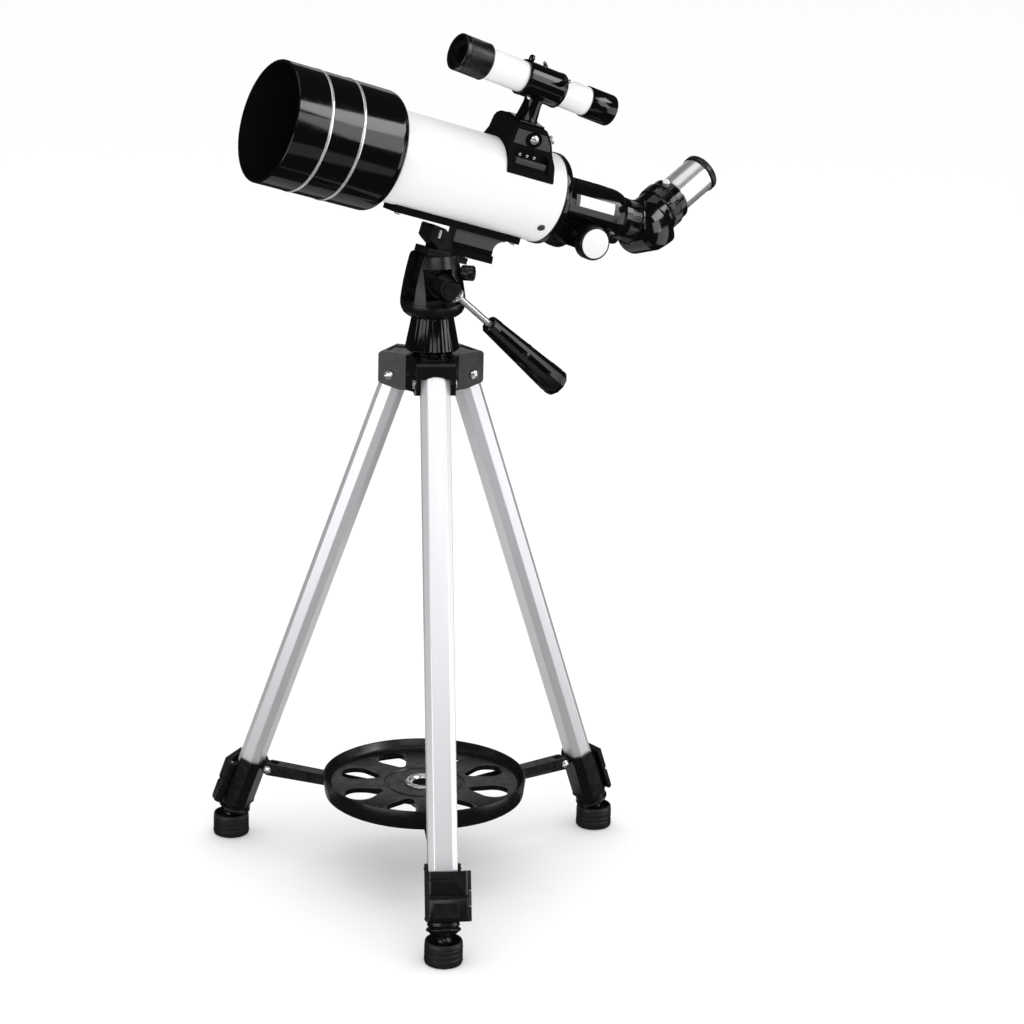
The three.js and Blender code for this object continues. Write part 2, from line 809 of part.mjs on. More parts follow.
function finderBracket() {
  const post = turned("z", [[59.3, 0], [59.3, 9.5], [80, 7.5], [80, 0]], 16, [63.5, 0, 0]);
  const ring = finderAxis(rod("x", 14.9, -19, 19, [0, 0, 0], 20));
  return cut(
    join(post, ring),
    finderAxis(rod("x", FINDER_RADIUS + GAP + 0.2, -25, 25, [0, 0, 0], 20)),
    finderScrewAxis(rod("z", 1.8, 11, 20), 1),
    finderScrewAxis(rod("z", 1.8, 11, 20), -1),
  );
}

const finderTube = () =>
  finderAxis(
    turned(
      "x",
      [[-72, 11.4], [-72, 12.5], [-55, 12.5], [-55, FINDER_RADIUS], [21, FINDER_RADIUS], [22, 12.2],
        [50, 12.2], [50, 10.8], [22, 10.8], [20, 11.4], [-72, 11.4]],
      20,
    ),
  );
const finderHood = () =>
  finderAxis(pipe("x", 15.4, 12.9, -82.5, -55.5, 20));
const finderObjective = () =>
  finderAxis(turned("x", [[-70, 0], [-69.4, 7], [-68, 11], [-66, 11], [-66, 0]], 16));
const finderEyepiece = () =>
  finderAxis(
    turned(
      "x",
      [
        [44, 12.5],
        [44, 13.2],
        [71.4, 13.2],
        [72.6, 12.4],
        [72.6, 6],
        [69, 5],
        [50.4, 5],
        [50.4, 12.5],
        [44, 12.5],
      ],
      16,
    ),
  );
const finderScrew = (side) => {
  const grip = [[16, 1.5], [16, 2.6], [23, 1.9], [23, 1.2]];
  return finderScrewAxis(turned("z", [[13.4, 0], [13.4, 1.5], ...grip, [25.4, 1.2], [25.4, 0]], 8), side);
};

// ---- Assembly -------------------------------------------------------------------------------
const finder = group(
  [0, 0, 0],
  [FINDER_ROLL, 0, 0],
  mesh("finder_base", finderBase(), matteBlack),
  mesh("finder_bracket", finderBracket(), glossBlack),
  mesh("finder_tube", finderTube(), whitePaint),
  mesh("finder_hood", finderHood(), matteBlack),
  mesh("finder_objective", finderObjective(), glass),
  mesh("finder_eyepiece", finderEyepiece(), glossBlack),
  mesh("finder_screw_near", finderScrew(1), matteBlack),
  mesh("finder_screw_far", finderScrew(-1), matteBlack),
);

const diagonal = group(
  [ELBOW, 0, 0],
  [ELBOW_ROLL, 0, 0],
  mesh("diagonal_housing", diagonalHousing(), matteBlack),
  mesh("diagonal_prism", diagonalPrism(), glass),
  mesh("diagonal_screw", diagonalScrew(), chrome),
  mesh("eyepiece_barrel", eyepieceBarrel(), aluminium),
  mesh("eyecup", eyecup(), matteBlack),
);

const opticalTube = group(
  [0, 0, TUBE_AXIS_HEIGHT],
  [0, TUBE_ELEVATION, HEAD_AZIMUTH],
  mesh("tilt_cradle", tiltCradle(), matteBlack),
  mesh("platform", platform(), matteBlack),
  mesh("platform_screw", platformScrew(), chrome),
  mesh("mount_rail", mountRail(), matteBlack),
  mesh("main_tube", mainTube(), whitePaint),
  mesh("dew_shield", dewShield(), glossBlack),
  mesh("objective_cell", objectiveCell(), matteBlack),
  mesh("objective_lens", objectiveLens(), glass),
  mesh("focuser_body", focuserBody(), glossBlack),
  mesh("focus_lock_screw", focusLockScrew(), chrome),
  mesh("draw_tube", drawTube(), glossBlack),
  mesh("focus_shaft", focusShaft(), chrome),
  mesh("focus_knob_near", focusKnob(-1), matteBlack),
  mesh("focus_knob_far", focusKnob(1), matteBlack),
  diagonal,
  finder,
);

const head = group(
  [0, 0, 0],
  [0, 0, HEAD_AZIMUTH],
  mesh("pan_body", panBody(), matteBlack),
  group([0, 0, KNOB_HEIGHT], [0, 0, KNOB_TURN], mesh("pan_knob", panKnob(), matteBlack)),
  group(
    [0, -HANDLE_SIDE, TILT_HEIGHT],
    [0, HANDLE_SLOPE, 0],
    mesh("handle_rod", handleRod(), chrome),
    mesh("handle_grip", handleGrip(), glossBlack),
  ),
);

const telescope = group(
  [0, 0, 0],
  [0, 0, 0],
  mesh("hub", hub(), matteBlack),
  mesh("neck_cone", neckCone(), glossBlack),
  mesh("tray", tray(), matteBlack),
  mesh("tray_screw", trayScrew(), chrome),
  mesh("spreader_hub", spreaderHub(), matteBlack),
  ...Object.keys(LEGS).map(leg),
  head,
  opticalTube,
);

// The part's origin is the centre of its box, on the floor.
const box = new THREE.Box3().setFromObject(telescope, true);
const centre = box.getCenter(new THREE.Vector3());
telescope.position.set(-centre.x, -centre.y, -box.min.z);

export default telescope;
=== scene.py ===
"""The looks of a small refractor telescope on its tripod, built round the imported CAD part.

Lengths are in millimetres, except those of the lights, the camera and the wear on edges, in metres.
Every mesh is made in the frame of the piece it belongs to, and each frame comes from the part's own joints.
"""

import json
import math

import bmesh
import bpy
from mathutils import Matrix, Vector


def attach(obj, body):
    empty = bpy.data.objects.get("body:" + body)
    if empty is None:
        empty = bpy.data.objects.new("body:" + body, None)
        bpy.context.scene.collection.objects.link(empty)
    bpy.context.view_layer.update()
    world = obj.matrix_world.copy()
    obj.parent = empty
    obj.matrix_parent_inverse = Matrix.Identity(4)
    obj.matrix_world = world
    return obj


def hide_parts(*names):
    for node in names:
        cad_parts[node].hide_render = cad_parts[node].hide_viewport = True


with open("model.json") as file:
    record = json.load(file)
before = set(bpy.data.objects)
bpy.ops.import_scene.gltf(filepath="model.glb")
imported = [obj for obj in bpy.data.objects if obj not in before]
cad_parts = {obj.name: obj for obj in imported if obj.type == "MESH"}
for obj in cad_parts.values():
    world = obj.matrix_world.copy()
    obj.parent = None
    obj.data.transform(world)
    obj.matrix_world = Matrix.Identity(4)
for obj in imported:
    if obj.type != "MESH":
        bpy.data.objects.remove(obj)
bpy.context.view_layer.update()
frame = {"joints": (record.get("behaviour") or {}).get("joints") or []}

MM = 0.001

# ---- Driving dimensions ----
SIDES = ("front", "right", "left")
LEG_WIDTH = 24.5
LEG_DEPTH = 19.4
LEG_CHAMFER = 5.0
LEG_LENGTH = 398.0
ANKLE = 454.8
CLAMP_BOTTOM = -438.3
KNUCKLE = (9.7, 18.2, 4.1)  # x, y and radius of the lock lever's hinge
KNUCKLE_SPAN = (-426.0, -414.0)
LEVER_FACES = (12.75, 17.65)  # inner and outer, in a leg's frame
LEVER_TOP = -397.5
ARM_PIVOT = (-19.5, -393.5)  # x and z in a leg's frame
ARM_LENGTH = 125.8
HUB_BOTTOM = 433.0
HUB_TOP = 463.5
HUB_EAR = 16.4
WING_END = 41.5
HINGE_RADIUS = 31.4
HINGE_HEIGHT = 444.4
TRAY_BOTTOM = 72.3
TRAY_FLOOR = 81.6
TRAY_UNDER = 77.4
TRAY_TOP = 89.4
TRAY_RADIUS = 87.8
HEAD_BOTTOM = 496.3
HEAD_TOP = 548.5
CHANNEL = 12.5  # half width of the slot between the head's cheeks
TILT_HEIGHT = 524.0
TILT_AT = (28.0, -90.45)  # tilt axis in the telescope's frame
PLATE_TOP = -64.5
PLATE_BOTTOM = -69.8
HANDLE_SIDE = 27.0
TUBE_RADIUS = 38.0
TUBE_REAR = 105.0
DEW_FRONT = -155.8
DEW_REAR = -51.5
DEW_RADIUS = 50.0
DEW_RINGS = (-125.5, -96.3)
FOCUSER_RADIUS = 22.7
DRAW_RADIUS = 18.6
PINION = (146.5, -24.2)
KNOB_RADIUS = 14.5
EYEPIECE_RADIUS = 15.87
FINDER_ROLL = 10.0
FINDER_TILT = 4.0
FINDER_CENTRE = (63.0, 90.5)
FINDER_RADIUS = 13.0
PAN_HEIGHT = 520.0  # of the pan joint over the floor
HANDLE_REACH = 30.0  # from the tilt axis to the handle's joint
KNOB_REACH = 25.0  # from the pan axis to the knob's joint
LEG_WALL = 1.6
TUBE_WALL = 1.2
SCREW_SLOT = 0.9

# Camera, at the photograph's viewing angle, in degrees and metres
CAMERA_YAW = -7.113
CAMERA_PITCH = 16.394
CAMERA_ROLL = 1.484
CAMERA_DISTANCE = 2.5129
CAMERA_AIM = (0.03135, 0.0136, 0.3321)
CAMERA_LENS = 105.47


# ---- Frames ----
JOINTS = {joint["name"]: joint for joint in frame["joints"]}


def axis_of(name):
    return Vector(JOINTS[name]["axis"]).normalized()


def origin_of(name):
    return Vector(JOINTS[name]["pos_m"])


def axes(origin, x, y):
    """A frame with that origin, its x axis along x, and its y axis as near y as it can be."""
    x = Vector(x).normalized()
    z = x.cross(Vector(y)).normalized()
    y = z.cross(x)
    matrix = Matrix((x, y, z)).transposed().to_4x4()
    matrix.translation = origin
    return matrix


def turn(degrees, axis):
    return Matrix.Rotation(math.radians(degrees), 4, axis)


def shift(x, y, z):
    return Matrix.Translation((x * MM, y * MM, z * MM))


UP = Vector((0, 0, 1))
TRIPOD = Matrix.Translation(origin_of("pan") - UP * PAN_HEIGHT * MM)
SCOPE = axes((0, 0, 0), axis_of("focus_travel"), axis_of("focus_turn"))
SCOPE.translation = origin_of("focus_turn")
SCOPE = SCOPE @ shift(-PINION[0], 0, -PINION[1])
HEAD = axes(TRIPOD.translation, axis_of("focus_travel") * Vector((1, 1, 0)), axis_of("focus_turn"))
HANDLE = axes(origin_of("handle_twist"), axis_of("handle_twist"), axis_of("focus_turn"))
HANDLE = HANDLE @ shift(-HANDLE_REACH, 0, 0)
PAN_KNOB = axes(origin_of("pan_knob_turn"), axis_of("pan_knob_turn"), UP) @ shift(-KNOB_REACH, 0, 0)
BEND = axis_of("eyepiece_pull").cross(axis_of("diagonal_turn"))
EYEPIECE = axes(origin_of("diagonal_turn"), axis_of("eyepiece_pull"), BEND)
DIAGONAL = axes(origin_of("diagonal_turn"), axis_of("diagonal_turn"), BEND)
FINDER_BASE = SCOPE @ turn(FINDER_ROLL, "X")
FINDER = FINDER_BASE @ shift(FINDER_CENTRE[0], 0, FINDER_CENTRE[1]) @ turn(FINDER_TILT, "Y")


def leg_frame(side):
    """x outwards, y along the hinge, z up the leg, from the hinge."""
    tangent = axis_of(f"leg_fold_{side}")
    up_leg = -axis_of(f"leg_extend_{side}")
    return axes(origin_of(f"leg_fold_{side}"), tangent.cross(up_leg), tangent)


def upright(name, side, inwards=False):
    """x outwards or inwards, z up, at one of a leg's joints."""
    tangent = axis_of(f"leg_fold_{side}") * (-1 if inwards else 1)
    return axes(origin_of(f"{name}_{side}"), tangent.cross(UP), tangent)


# ---- Meshes ----
LAYOUT = {
    "x": lambda along, a, b: (along, a, b),
    "y": lambda along, a, b: (b, along, a),
    "z": lambda along, a, b: (a, b, along),
}


def mesh_object(name, verts, faces):
    mesh = bpy.data.meshes.new(name)
    mesh.from_pydata([Vector(v) * MM for v in verts], [], faces)
    work = bmesh.new()
    work.from_mesh(mesh)
    bmesh.ops.recalc_face_normals(work, faces=work.faces)
    work.to_mesh(mesh)
    work.free()
    obj = bpy.data.objects.new(name, mesh)
    bpy.context.scene.collection.objects.link(obj)
    return obj


def turned(name, profile, axis="x", sides=96, flutes=None, at=(0, 0, 0)):
    """A solid of revolution from (along, radius) points, which end on the axis or where they start.

    flutes is (count, depth, eighths wide), and points with a third entry carry those grooves.
    """
    count, depth, wide = flutes or (1, 0, 0)
    if flutes:
        sides = count * 8
    closed = profile[0] == profile[-1]
    points = profile[:-1] if closed else profile
    verts = []
    rings = []
    for along, radius, *fluted in points:
        rings.append(range(len(verts), len(verts) + (sides if radius else 1)))
        for i in range(len(rings[-1])):
            groove = depth if fluted and i % 8 < wide else 0
            angle = 2 * math.pi * i / sides
            a = (radius - groove) * math.cos(angle)
            b = (radius - groove) * math.sin(angle)
            verts.append(Vector(LAYOUT[axis](along, a, b)) + Vector(at))
    faces = []
    for one, two in zip(rings, rings[1:] + rings[:1] if closed else rings[1:]):
        for i in range(sides):
            j = (i + 1) % sides
            corners = (one[i % len(one)], one[j % len(one)], two[j % len(two)], two[i % len(two)])
            faces.append(list(dict.fromkeys(corners)))
    return mesh_object(name, verts, faces)


def rod(name, radius, low, high, axis="x", at=(0, 0, 0), sides=64):
    return turned(name, [(low, 0), (low, radius), (high, radius), (high, 0)], axis, sides, at=at)


def pipe(name, outer, inner, low, high, axis="x", sides=96):
    profile = [(low, inner), (low, outer), (high, outer), (high, inner), (low, inner)]
    return turned(name, profile, axis, sides)


def raised(name, outline, low, high, axis="z"):
    """A flat outline of (a, b) points given thickness along an axis."""
    order = {"x": (2, 0, 1), "y": (0, 2, 1), "z": (0, 1, 2)}[axis]
    count = len(outline)
    verts = [[(a, b, h)[k] for k in order] for h in (low, high) for a, b in outline]
    faces = [list(range(count)), list(range(count, 2 * count))]
    for i in range(count):
        j = (i + 1) % count
        faces.append([i, j, count + j, count + i])
    return mesh_object(name, verts, faces)


def block(name, low, high):
    outline = [(low[0], low[1]), (high[0], low[1]), (high[0], high[1]), (low[0], high[1])]
    return raised(name, outline, low[2], high[2])


def ball(name, radius, at=(0, 0, 0), steps=24):
    profile = []
    for i in range(steps + 1):
        angle = math.pi * i / steps
        profile.append((-radius * math.cos(angle), radius * math.sin(angle) if 0 < i < steps else 0))
    return turned(name, profile, "x", 64, at=at)


def arc(centre, radius, start, end, steps=12):
    """Points on a circle, angles in degrees."""
    points = []
    for i in range(steps + 1):
        angle = math.radians(start + (end - start) * i / steps)
        points.append((centre[0] + radius * math.cos(angle), centre[1] + radius * math.sin(angle)))
    return points


def octagon(width, depth, chamfer):
    x, y, c = depth / 2, width / 2, chamfer
    return [
        (x, y - c), (x - c, y), (c - x, y), (-x, y - c),
        (-x, c - y), (c - x, -y), (x - c, -y), (x, c - y),
    ]


def moved(obj, matrix):
    obj.data.transform(matrix)
    return obj


def combined(target, operation, tools):
    for tool in tools:
        modifier = target.modifiers.new("combine", "BOOLEAN")
        modifier.operation = operation
        modifier.object = tool
        modifier.solver = "MANIFOLD"
    bpy.context.view_layer.update()
    graph = bpy.context.evaluated_depsgraph_get()
    made = bpy.data.meshes.new_from_object(target.evaluated_get(graph))
    target.modifiers.clear()
    target.data = made
    for tool in tools:
        bpy.data.objects.remove(tool)
    return target


def cut(target, *tools):
    return combined(target, "DIFFERENCE", tools)


def join(target, *tools):
    return combined(target, "UNION", tools)


def place(obj, where, body, finish, nodes=(), bevel=0.35, smooth=35):
    """Puts a finished piece into its frame, softens its edges and gives it its material and body."""
    obj.name = f"{obj.name.split('.')[0]}_look"
    obj.data.shade_smooth()
    obj.data.set_sharp_from_angle(angle=math.radians(smooth))
    if bevel:
        modifier = obj.modifiers.new("edges", "BEVEL")
        modifier.width = bevel * MM
        modifier.segments = 2
        modifier.limit_method = "ANGLE"
        modifier.angle_limit = math.radians(smooth)
        modifier.harden_normals = True
    obj.data.materials.clear()
    obj.data.materials.append(MATERIALS[finish])
    obj.matrix_world = where
    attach(obj, body)
    if nodes:
        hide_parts(*nodes)


def on_scope(obj, where, finish, nodes=(), **edges):
    """Places a piece that tilts with the telescope."""
    place(obj, where, "optical_tube", finish, nodes, **edges)


# ---- Materials ----
# Noise scales of the colour drift, the change in gloss and the scuffs, and the width of worn edges
DRIFT_SCALE = 45.0
GLOSS_SCALE = 120.0
SCUFF_SCALE = 400.0
WORN_EDGE = 0.0004
# Sockets of a colour mix node
FACTOR, ONE, TWO, MIXED = 0, 6, 7, 2


def node(tree, kind, **settings):
    made = tree.nodes.new(kind)
    for key, value in settings.items():
        setattr(made, key, value)
    return made


def noise(tree, place_on, scale, detail=3.0):
    made = node(tree, "ShaderNodeTexNoise")
    made.inputs["Scale"].default_value = scale
    made.inputs["Detail"].default_value = detail
    tree.links.new(place_on, made.inputs["Vector"])
    return made.outputs["Fac"]


def spread(tree, value, low, high):
    """The value's middle range stretched to run from low to high."""
    made = node(tree, "ShaderNodeMapRange")
    made.inputs["From Min"].default_value = 0.3
    made.inputs["From Max"].default_value = 0.7
    made.inputs["To Min"].default_value = low
    made.inputs["To Max"].default_value = high
    tree.links.new(value, made.inputs["Value"])
    return made.outputs["Result"]


def edge_mask(tree, radius):
    """Near 1 along convex and concave edges and 0 on flat ground."""
    bevel = node(tree, "ShaderNodeBevel", samples=4)
    bevel.inputs["Radius"].default_value = radius
    geometry = node(tree, "ShaderNodeNewGeometry")
    dot = node(tree, "ShaderNodeVectorMath", operation="DOT_PRODUCT")
    tree.links.new(bevel.outputs["Normal"], dot.inputs[0])
    tree.links.new(geometry.outputs["Normal"], dot.inputs[1])
    mask = node(tree, "ShaderNodeMapRange")
    mask.inputs["From Min"].default_value = 0.98
    mask.inputs["From Max"].default_value = 0.80
    tree.links.new(dot.outputs["Value"], mask.inputs["Value"])
    return mask.outputs["Result"]


def surface(name, colour, roughness, metallic=0.0, coat=0.0, mottle=0.12, patchy=0.04,
            grain=(1800.0, 0.02), wear=0.4, stretch=(1, 1, 1), specular=0.5):
    """A surface with broad colour drift, uneven gloss, fine grain and lighter worn edges."""
    material = bpy.data.materials.new(name)
    material.use_nodes = True
    tree = material.node_tree
    shader = tree.nodes["Principled BSDF"]
    shader.inputs["Metallic"].default_value = metallic
    shader.inputs["Coat Weight"].default_value = coat
    shader.inputs["Coat Roughness"].default_value = 0.06
    shader.inputs["Specular IOR Level"].default_value = specular
    coordinates = node(tree, "ShaderNodeTexCoord")
    mapping = node(tree, "ShaderNodeMapping")
    mapping.inputs["Scale"].default_value = stretch
    tree.links.new(coordinates.outputs["Object"], mapping.inputs["Vector"])
    where = mapping.outputs["Vector"]

    drift = noise(tree, where, DRIFT_SCALE)
    base = node(tree, "ShaderNodeMix", data_type="RGBA")
    base.inputs[ONE].default_value = (*[c * (1 - mottle) for c in colour], 1)
    base.inputs[TWO].default_value = (*[min(1.0, c * (1 + mottle)) for c in colour], 1)
    tree.links.new(drift, base.inputs[FACTOR])
    worn_mix = node(tree, "ShaderNodeMix", data_type="RGBA")
    worn_mix.inputs[TWO].default_value = (*[min(1.0, c * 1.6 + 0.02) for c in colour], 1)
    scuffs = spread(tree, noise(tree, where, SCUFF_SCALE), 0.0, wear)
    strength = node(tree, "ShaderNodeMath", operation="MULTIPLY")
    tree.links.new(edge_mask(tree, WORN_EDGE), strength.inputs[0])
    tree.links.new(scuffs, strength.inputs[1])
    tree.links.new(strength.outputs[0], worn_mix.inputs[FACTOR])
    tree.links.new(base.outputs[MIXED], worn_mix.inputs[ONE])
    tree.links.new(worn_mix.outputs[MIXED], shader.inputs["Base Color"])

    change = noise(tree, where, GLOSS_SCALE)
    gloss = spread(tree, change, max(0.02, roughness - patchy), roughness + patchy)
    tree.links.new(gloss, shader.inputs["Roughness"])

    bump = node(tree, "ShaderNodeBump")
    bump.inputs["Strength"].default_value = 0.6
    bump.inputs["Distance"].default_value = grain[1] * MM
    tree.links.new(noise(tree, where, grain[0], 4.0), bump.inputs["Height"])
    tree.links.new(bump.outputs["Normal"], shader.inputs["Normal"])
    return material


MATERIALS = {
    "aluminium": surface("aluminium", (0.88, 0.89, 0.91), 0.34, metallic=0.6, mottle=0.03, patchy=0.05,
                         grain=(900.0, 0.05), stretch=(1, 1, 0.02), wear=0.3),
    "rubber": surface("rubber", (0.010, 0.010, 0.010), 0.50, mottle=0.3, grain=(2600.0, 0.04)),
    "white": surface("white_paint", (0.84, 0.845, 0.85), 0.32, coat=0.15, mottle=0.012,
                     grain=(700.0, 0.012), wear=0.1),
    "gloss": surface("gloss_black", (0.002, 0.002, 0.0022), 0.10, mottle=0.25, patchy=0.03,
                     grain=(600.0, 0.008), wear=0.25),
    "satin": surface("satin_black", (0.0045, 0.0045, 0.005), 0.27, mottle=0.25, patchy=0.06,
                     grain=(2200.0, 0.03), wear=0.4),
    "grey": surface("dark_grey", (0.050, 0.052, 0.052), 0.42, mottle=0.12, grain=(1600.0, 0.03), wear=0.4),
    "flock": surface("flat_black", (0.004, 0.004, 0.004), 0.85, mottle=0.3, specular=0.06,
                     grain=(2500.0, 0.05)),
    "chrome": surface("chrome", (0.86, 0.87, 0.89), 0.20, metallic=0.85, mottle=0.04, patchy=0.05,
                      grain=(900.0, 0.006)),
    "bright": surface("bright_ring", (0.86, 0.87, 0.88), 0.28, metallic=0.75, mottle=0.03, patchy=0.04,
                      grain=(900.0, 0.006)),
    "silver": surface("turned_silver", (0.84, 0.85, 0.86), 0.24, metallic=0.8, mottle=0.02, patchy=0.03,
                      grain=(1200.0, 0.004)),
    "cap": surface("white_cap", (0.79, 0.795, 0.80), 0.35, mottle=0.02, grain=(1500.0, 0.01), wear=0.1),
    "label": surface("label_plate", (0.80, 0.81, 0.82), 0.3, mottle=0.02, grain=(1500.0, 0.006)),
    "lens": surface("coated_lens", (0.008, 0.012, 0.030), 0.04, coat=1.0, mottle=0.3, patchy=0.015,
                    grain=(300.0, 0.002), wear=0.0),
}


# ---- Small repeated pieces ----
def screw_head(name, radius, height, where, body="optical_tube", finish="chrome"):
    """A slotted dome head that stands on its frame's origin, pointing along x."""
    profile = [(0, 0), (0, radius), (height * 0.45, radius), (height * 0.85, radius * 0.72), (height, 0)]
    head = turned(name, profile, sides=40)
    half = SCREW_SLOT / 2
    slot = block("slot", (height * 0.5, -radius - 1, -half), (height + 1, radius + 1, half))
    place(cut(head, slot), where, body, finish, bevel=0.12)


# ---- Legs ----
def leg_tube(side, where):
    tube = raised(f"leg_{side}", octagon(LEG_WIDTH, LEG_DEPTH, LEG_CHAMFER), -LEG_LENGTH, 11)
    inner = octagon(LEG_WIDTH - 2 * LEG_WALL, LEG_DEPTH - 2 * LEG_WALL, LEG_CHAMFER - 1)
    cut(tube, raised("inside", inner, -LEG_LENGTH - 1, 12))
    place(tube, where, f"leg_{side}", "aluminium", [f"leg_tube_{side}"], bevel=0.8)


def leg_clamp(side, where):
    depth = LEG_DEPTH + 5.5
    sleeve = raised(f"clamp_{side}", octagon(29, depth, 6.3), CLAMP_BOTTOM, -392)
    ribs = [raised("rib", octagon(29.8, depth + 0.8, 6.5), z, z + 2) for z in (CLAMP_BOTTOM + 0.8, -397)]
    pivot_x, pivot_z = ARM_PIVOT
    lug = block("lug", (pivot_x, -2.6, pivot_z - 4.6), (-12, 2.6, pivot_z + 4.6))
    eye = rod("eye", 4.6, -2.6, 2.6, "y", (pivot_x, 0, pivot_z))
    x, y, radius = KNUCKLE
    low, high = KNUCKLE_SPAN
    knuckle = rod("knuckle", radius, low, high, "z", (x, y, 0))
    root = block("root", (x - radius, 13, low), (x + 2, y, high))
    join(sleeve, *ribs, lug, eye, knuckle, root)
    cut(
        sleeve,
        raised("tube", octagon(LEG_WIDTH + 0.7, LEG_DEPTH + 0.7, LEG_CHAMFER), -LEG_LENGTH - 0.3, -380),
        raised("bore", octagon(LEG_WIDTH - 3, LEG_DEPTH - 3, LEG_CHAMFER - 1), CLAMP_BOTTOM - 1, -390),
        block("mouth", (5, -22, -401), (20, 22, -380)),
    )
    place(sleeve, where, f"leg_{side}", "satin", [f"leg_clamp_{side}"], bevel=0.5)


def lock_lever(side, where):
    x, y, radius = KNUCKLE
    low, high = KNUCKLE_SPAN
    inner, outer = LEVER_FACES
    plan = [
        (inner, -13), (outer - 1.4, -13), (outer, -11.4), (outer, 16.4), (outer - 1.6, 18.9),
        *arc((x, y), radius, 30, 200, 8), (inner, 14.2),
    ]
    profile = [
        (0, CLAMP_BOTTOM), (outer - 2.6, CLAMP_BOTTOM), (outer - 1.2, CLAMP_BOTTOM + 1.6),
        (outer - 0.6, CLAMP_BOTTOM + 5), (outer - 0.6, -420.6), (outer - 1.2, -419.4), (outer - 2.4, -419),
        (outer - 2.4, -417), (outer - 0.6, -416.5), (outer, -415.2), (outer, LEVER_TOP + 5),
        (inner + 1.4, LEVER_TOP), (0, LEVER_TOP),
    ]
    lever = raised(f"lever_{side}", plan, CLAMP_BOTTOM, LEVER_TOP)
    combined(lever, "INTERSECT", [raised("profile", profile, -14, 24, "y")])
    cut(
        lever,
        block("relief", (0, 13, low - 0.6), (x + radius + 0.4, 24, high + 0.6)),
        block("groove", (outer - 1.1, -14, -404.5), (outer + 1, 9, -403.3)),
        block("dish", (outer - 1.3, -9, -434.5), (outer + 1, 11, -424)),
    )
    place(lever, where, f"lever_{side}", "satin", [f"lock_lever_{side}"], bevel=0.45)
    pin = rod(f"lever_pin_{side}", 1.2, CLAMP_BOTTOM - 0.3, LEVER_TOP + 0.3, "z", (x, y, 0), 20)
    place(pin, where, f"lever_{side}", "chrome", bevel=0.1)


def lower_leg(side, where):
    bottom = -438.8
    inner = raised(f"lower_leg_{side}", octagon(LEG_WIDTH - 4.2, LEG_DEPTH - 4.2, 4), bottom, -75)
    ankle = turned(
        "ankle",
        [
            (bottom + 2, 0), (bottom + 2, 7), (bottom, 7), (bottom, 12.9), (bottom - 0.5, 13.3),
            (bottom - 3, 13.3), (bottom - 4, 12.3), *arc((bottom - 6.3, 12.9), 1.5, 25, 170, 6),
            (bottom - 8.7, 11.8), (bottom - 9.6, 11.2), (bottom - 12, 4.5), (bottom - 16, 4.5),
            (bottom - 16, 0),
        ],
        "z",
    )
    join(inner, ankle, ball("ball", 7.2, (0, 0, -ANKLE)))
    cut(inner, raised("hollow", octagon(LEG_WIDTH - 7, LEG_DEPTH - 7, 3), bottom + 8, -74))
    place(inner, where, f"lower_leg_{side}", "satin", [f"leg_extension_{side}"], bevel=0.25)


def foot(side, where):
    neck = []
    for low in (-11.6, -7.4, -3.2):
        neck += [(low, 15.8), (low + 0.4, 15.3), (low + 1.0, 15.3), (low + 1.4, 15.7)]
    cup = turned(
        f"foot_{side}",
        [
            (-18, 0), (-18, 14.2), (-17.3, 15.3), (-15.5, 15.9), *neck, (0.9, 15.4), (1.7, 15),
            (2, 14.3), (1.7, 13.6), (-3.5, 13), (-8, 8.5), (-8, 0),
        ],
        "z",
    )
    place(cup, where, f"foot_{side}", "rubber", [f"foot_cup_{side}"], bevel=0.15)


def spreader_arm(side, where):
    outer, inner, half = 5.6, 4.0, 5.6
    outline = [*arc((0, 0), outer, 95, 265), *arc((ARM_LENGTH, 0), inner, -90, 90)]
    arm = raised(f"arm_{side}", outline, -half, half, "y")
    channel = [*arc((14, 0), outer - 1.8, 95, 265), *arc((ARM_LENGTH - 12, 0), inner - 1.4, -90, 90)]
    cut(
        arm,
        block("fork", (-8, -2.9, -8), (8, 2.9, 8)),
        raised("near_recess", channel, half - 0.9, half + 1, "y"),
        raised("far_recess", channel, -half - 1, 0.9 - half, "y"),
    )
    place(arm, where, f"arm_{side}", "satin", [f"spreader_arm_{side}"])
    pin = rod(f"arm_bolt_{side}", 2, -half - 0.4, half + 0.4, "y", sides=24)
    place(pin, where, f"arm_{side}", "chrome", [f"arm_bolt_{side}"], bevel=0.1)
    for end, spin in (("near", 90), ("far", -90)):
        head = where @ turn(spin, "Z") @ shift(half + 0.3, 0, 0)
        screw_head(f"arm_screw_{side}_{end}", 3.5, 2, head, f"arm_{side}")


def leg(side):
    where = leg_frame(side)
    leg_tube(side, where)
    leg_clamp(side, where)
    lock_lever(side, where)
    lower_leg(side, where)
    foot(side, upright("foot_swivel", side))
    spreader_arm(side, upright("arm_swing", side, inwards=True))
    pin = rod(f"hub_bolt_{side}", 2.5, -HUB_EAR - 0.4, HUB_EAR + 0.4, "y", sides=24)
    place(pin, where, "root", "chrome", [f"hub_bolt_{side}"], bevel=0.1)
    for end, spin in (("near", 90), ("far", -90)):
        head = where @ turn(spin, "Z") @ shift(HUB_EAR + 0.3, 0, 0) @ turn(35, "X")
        screw_head(f"hub_screw_{side}_{end}", 3.9, 2.1, head, "root")


# ---- Hub, neck and tray ----
def around_legs(make):
    """One piece for each leg, made by a function and turned to that leg's azimuth."""
    made = []
    for side in SIDES:
        outward = leg_frame(side).translation - TRIPOD.translation
        made.append(moved(make(), Matrix.Rotation(math.atan2(outward.y, outward.x), 4, "Z")))
    return made


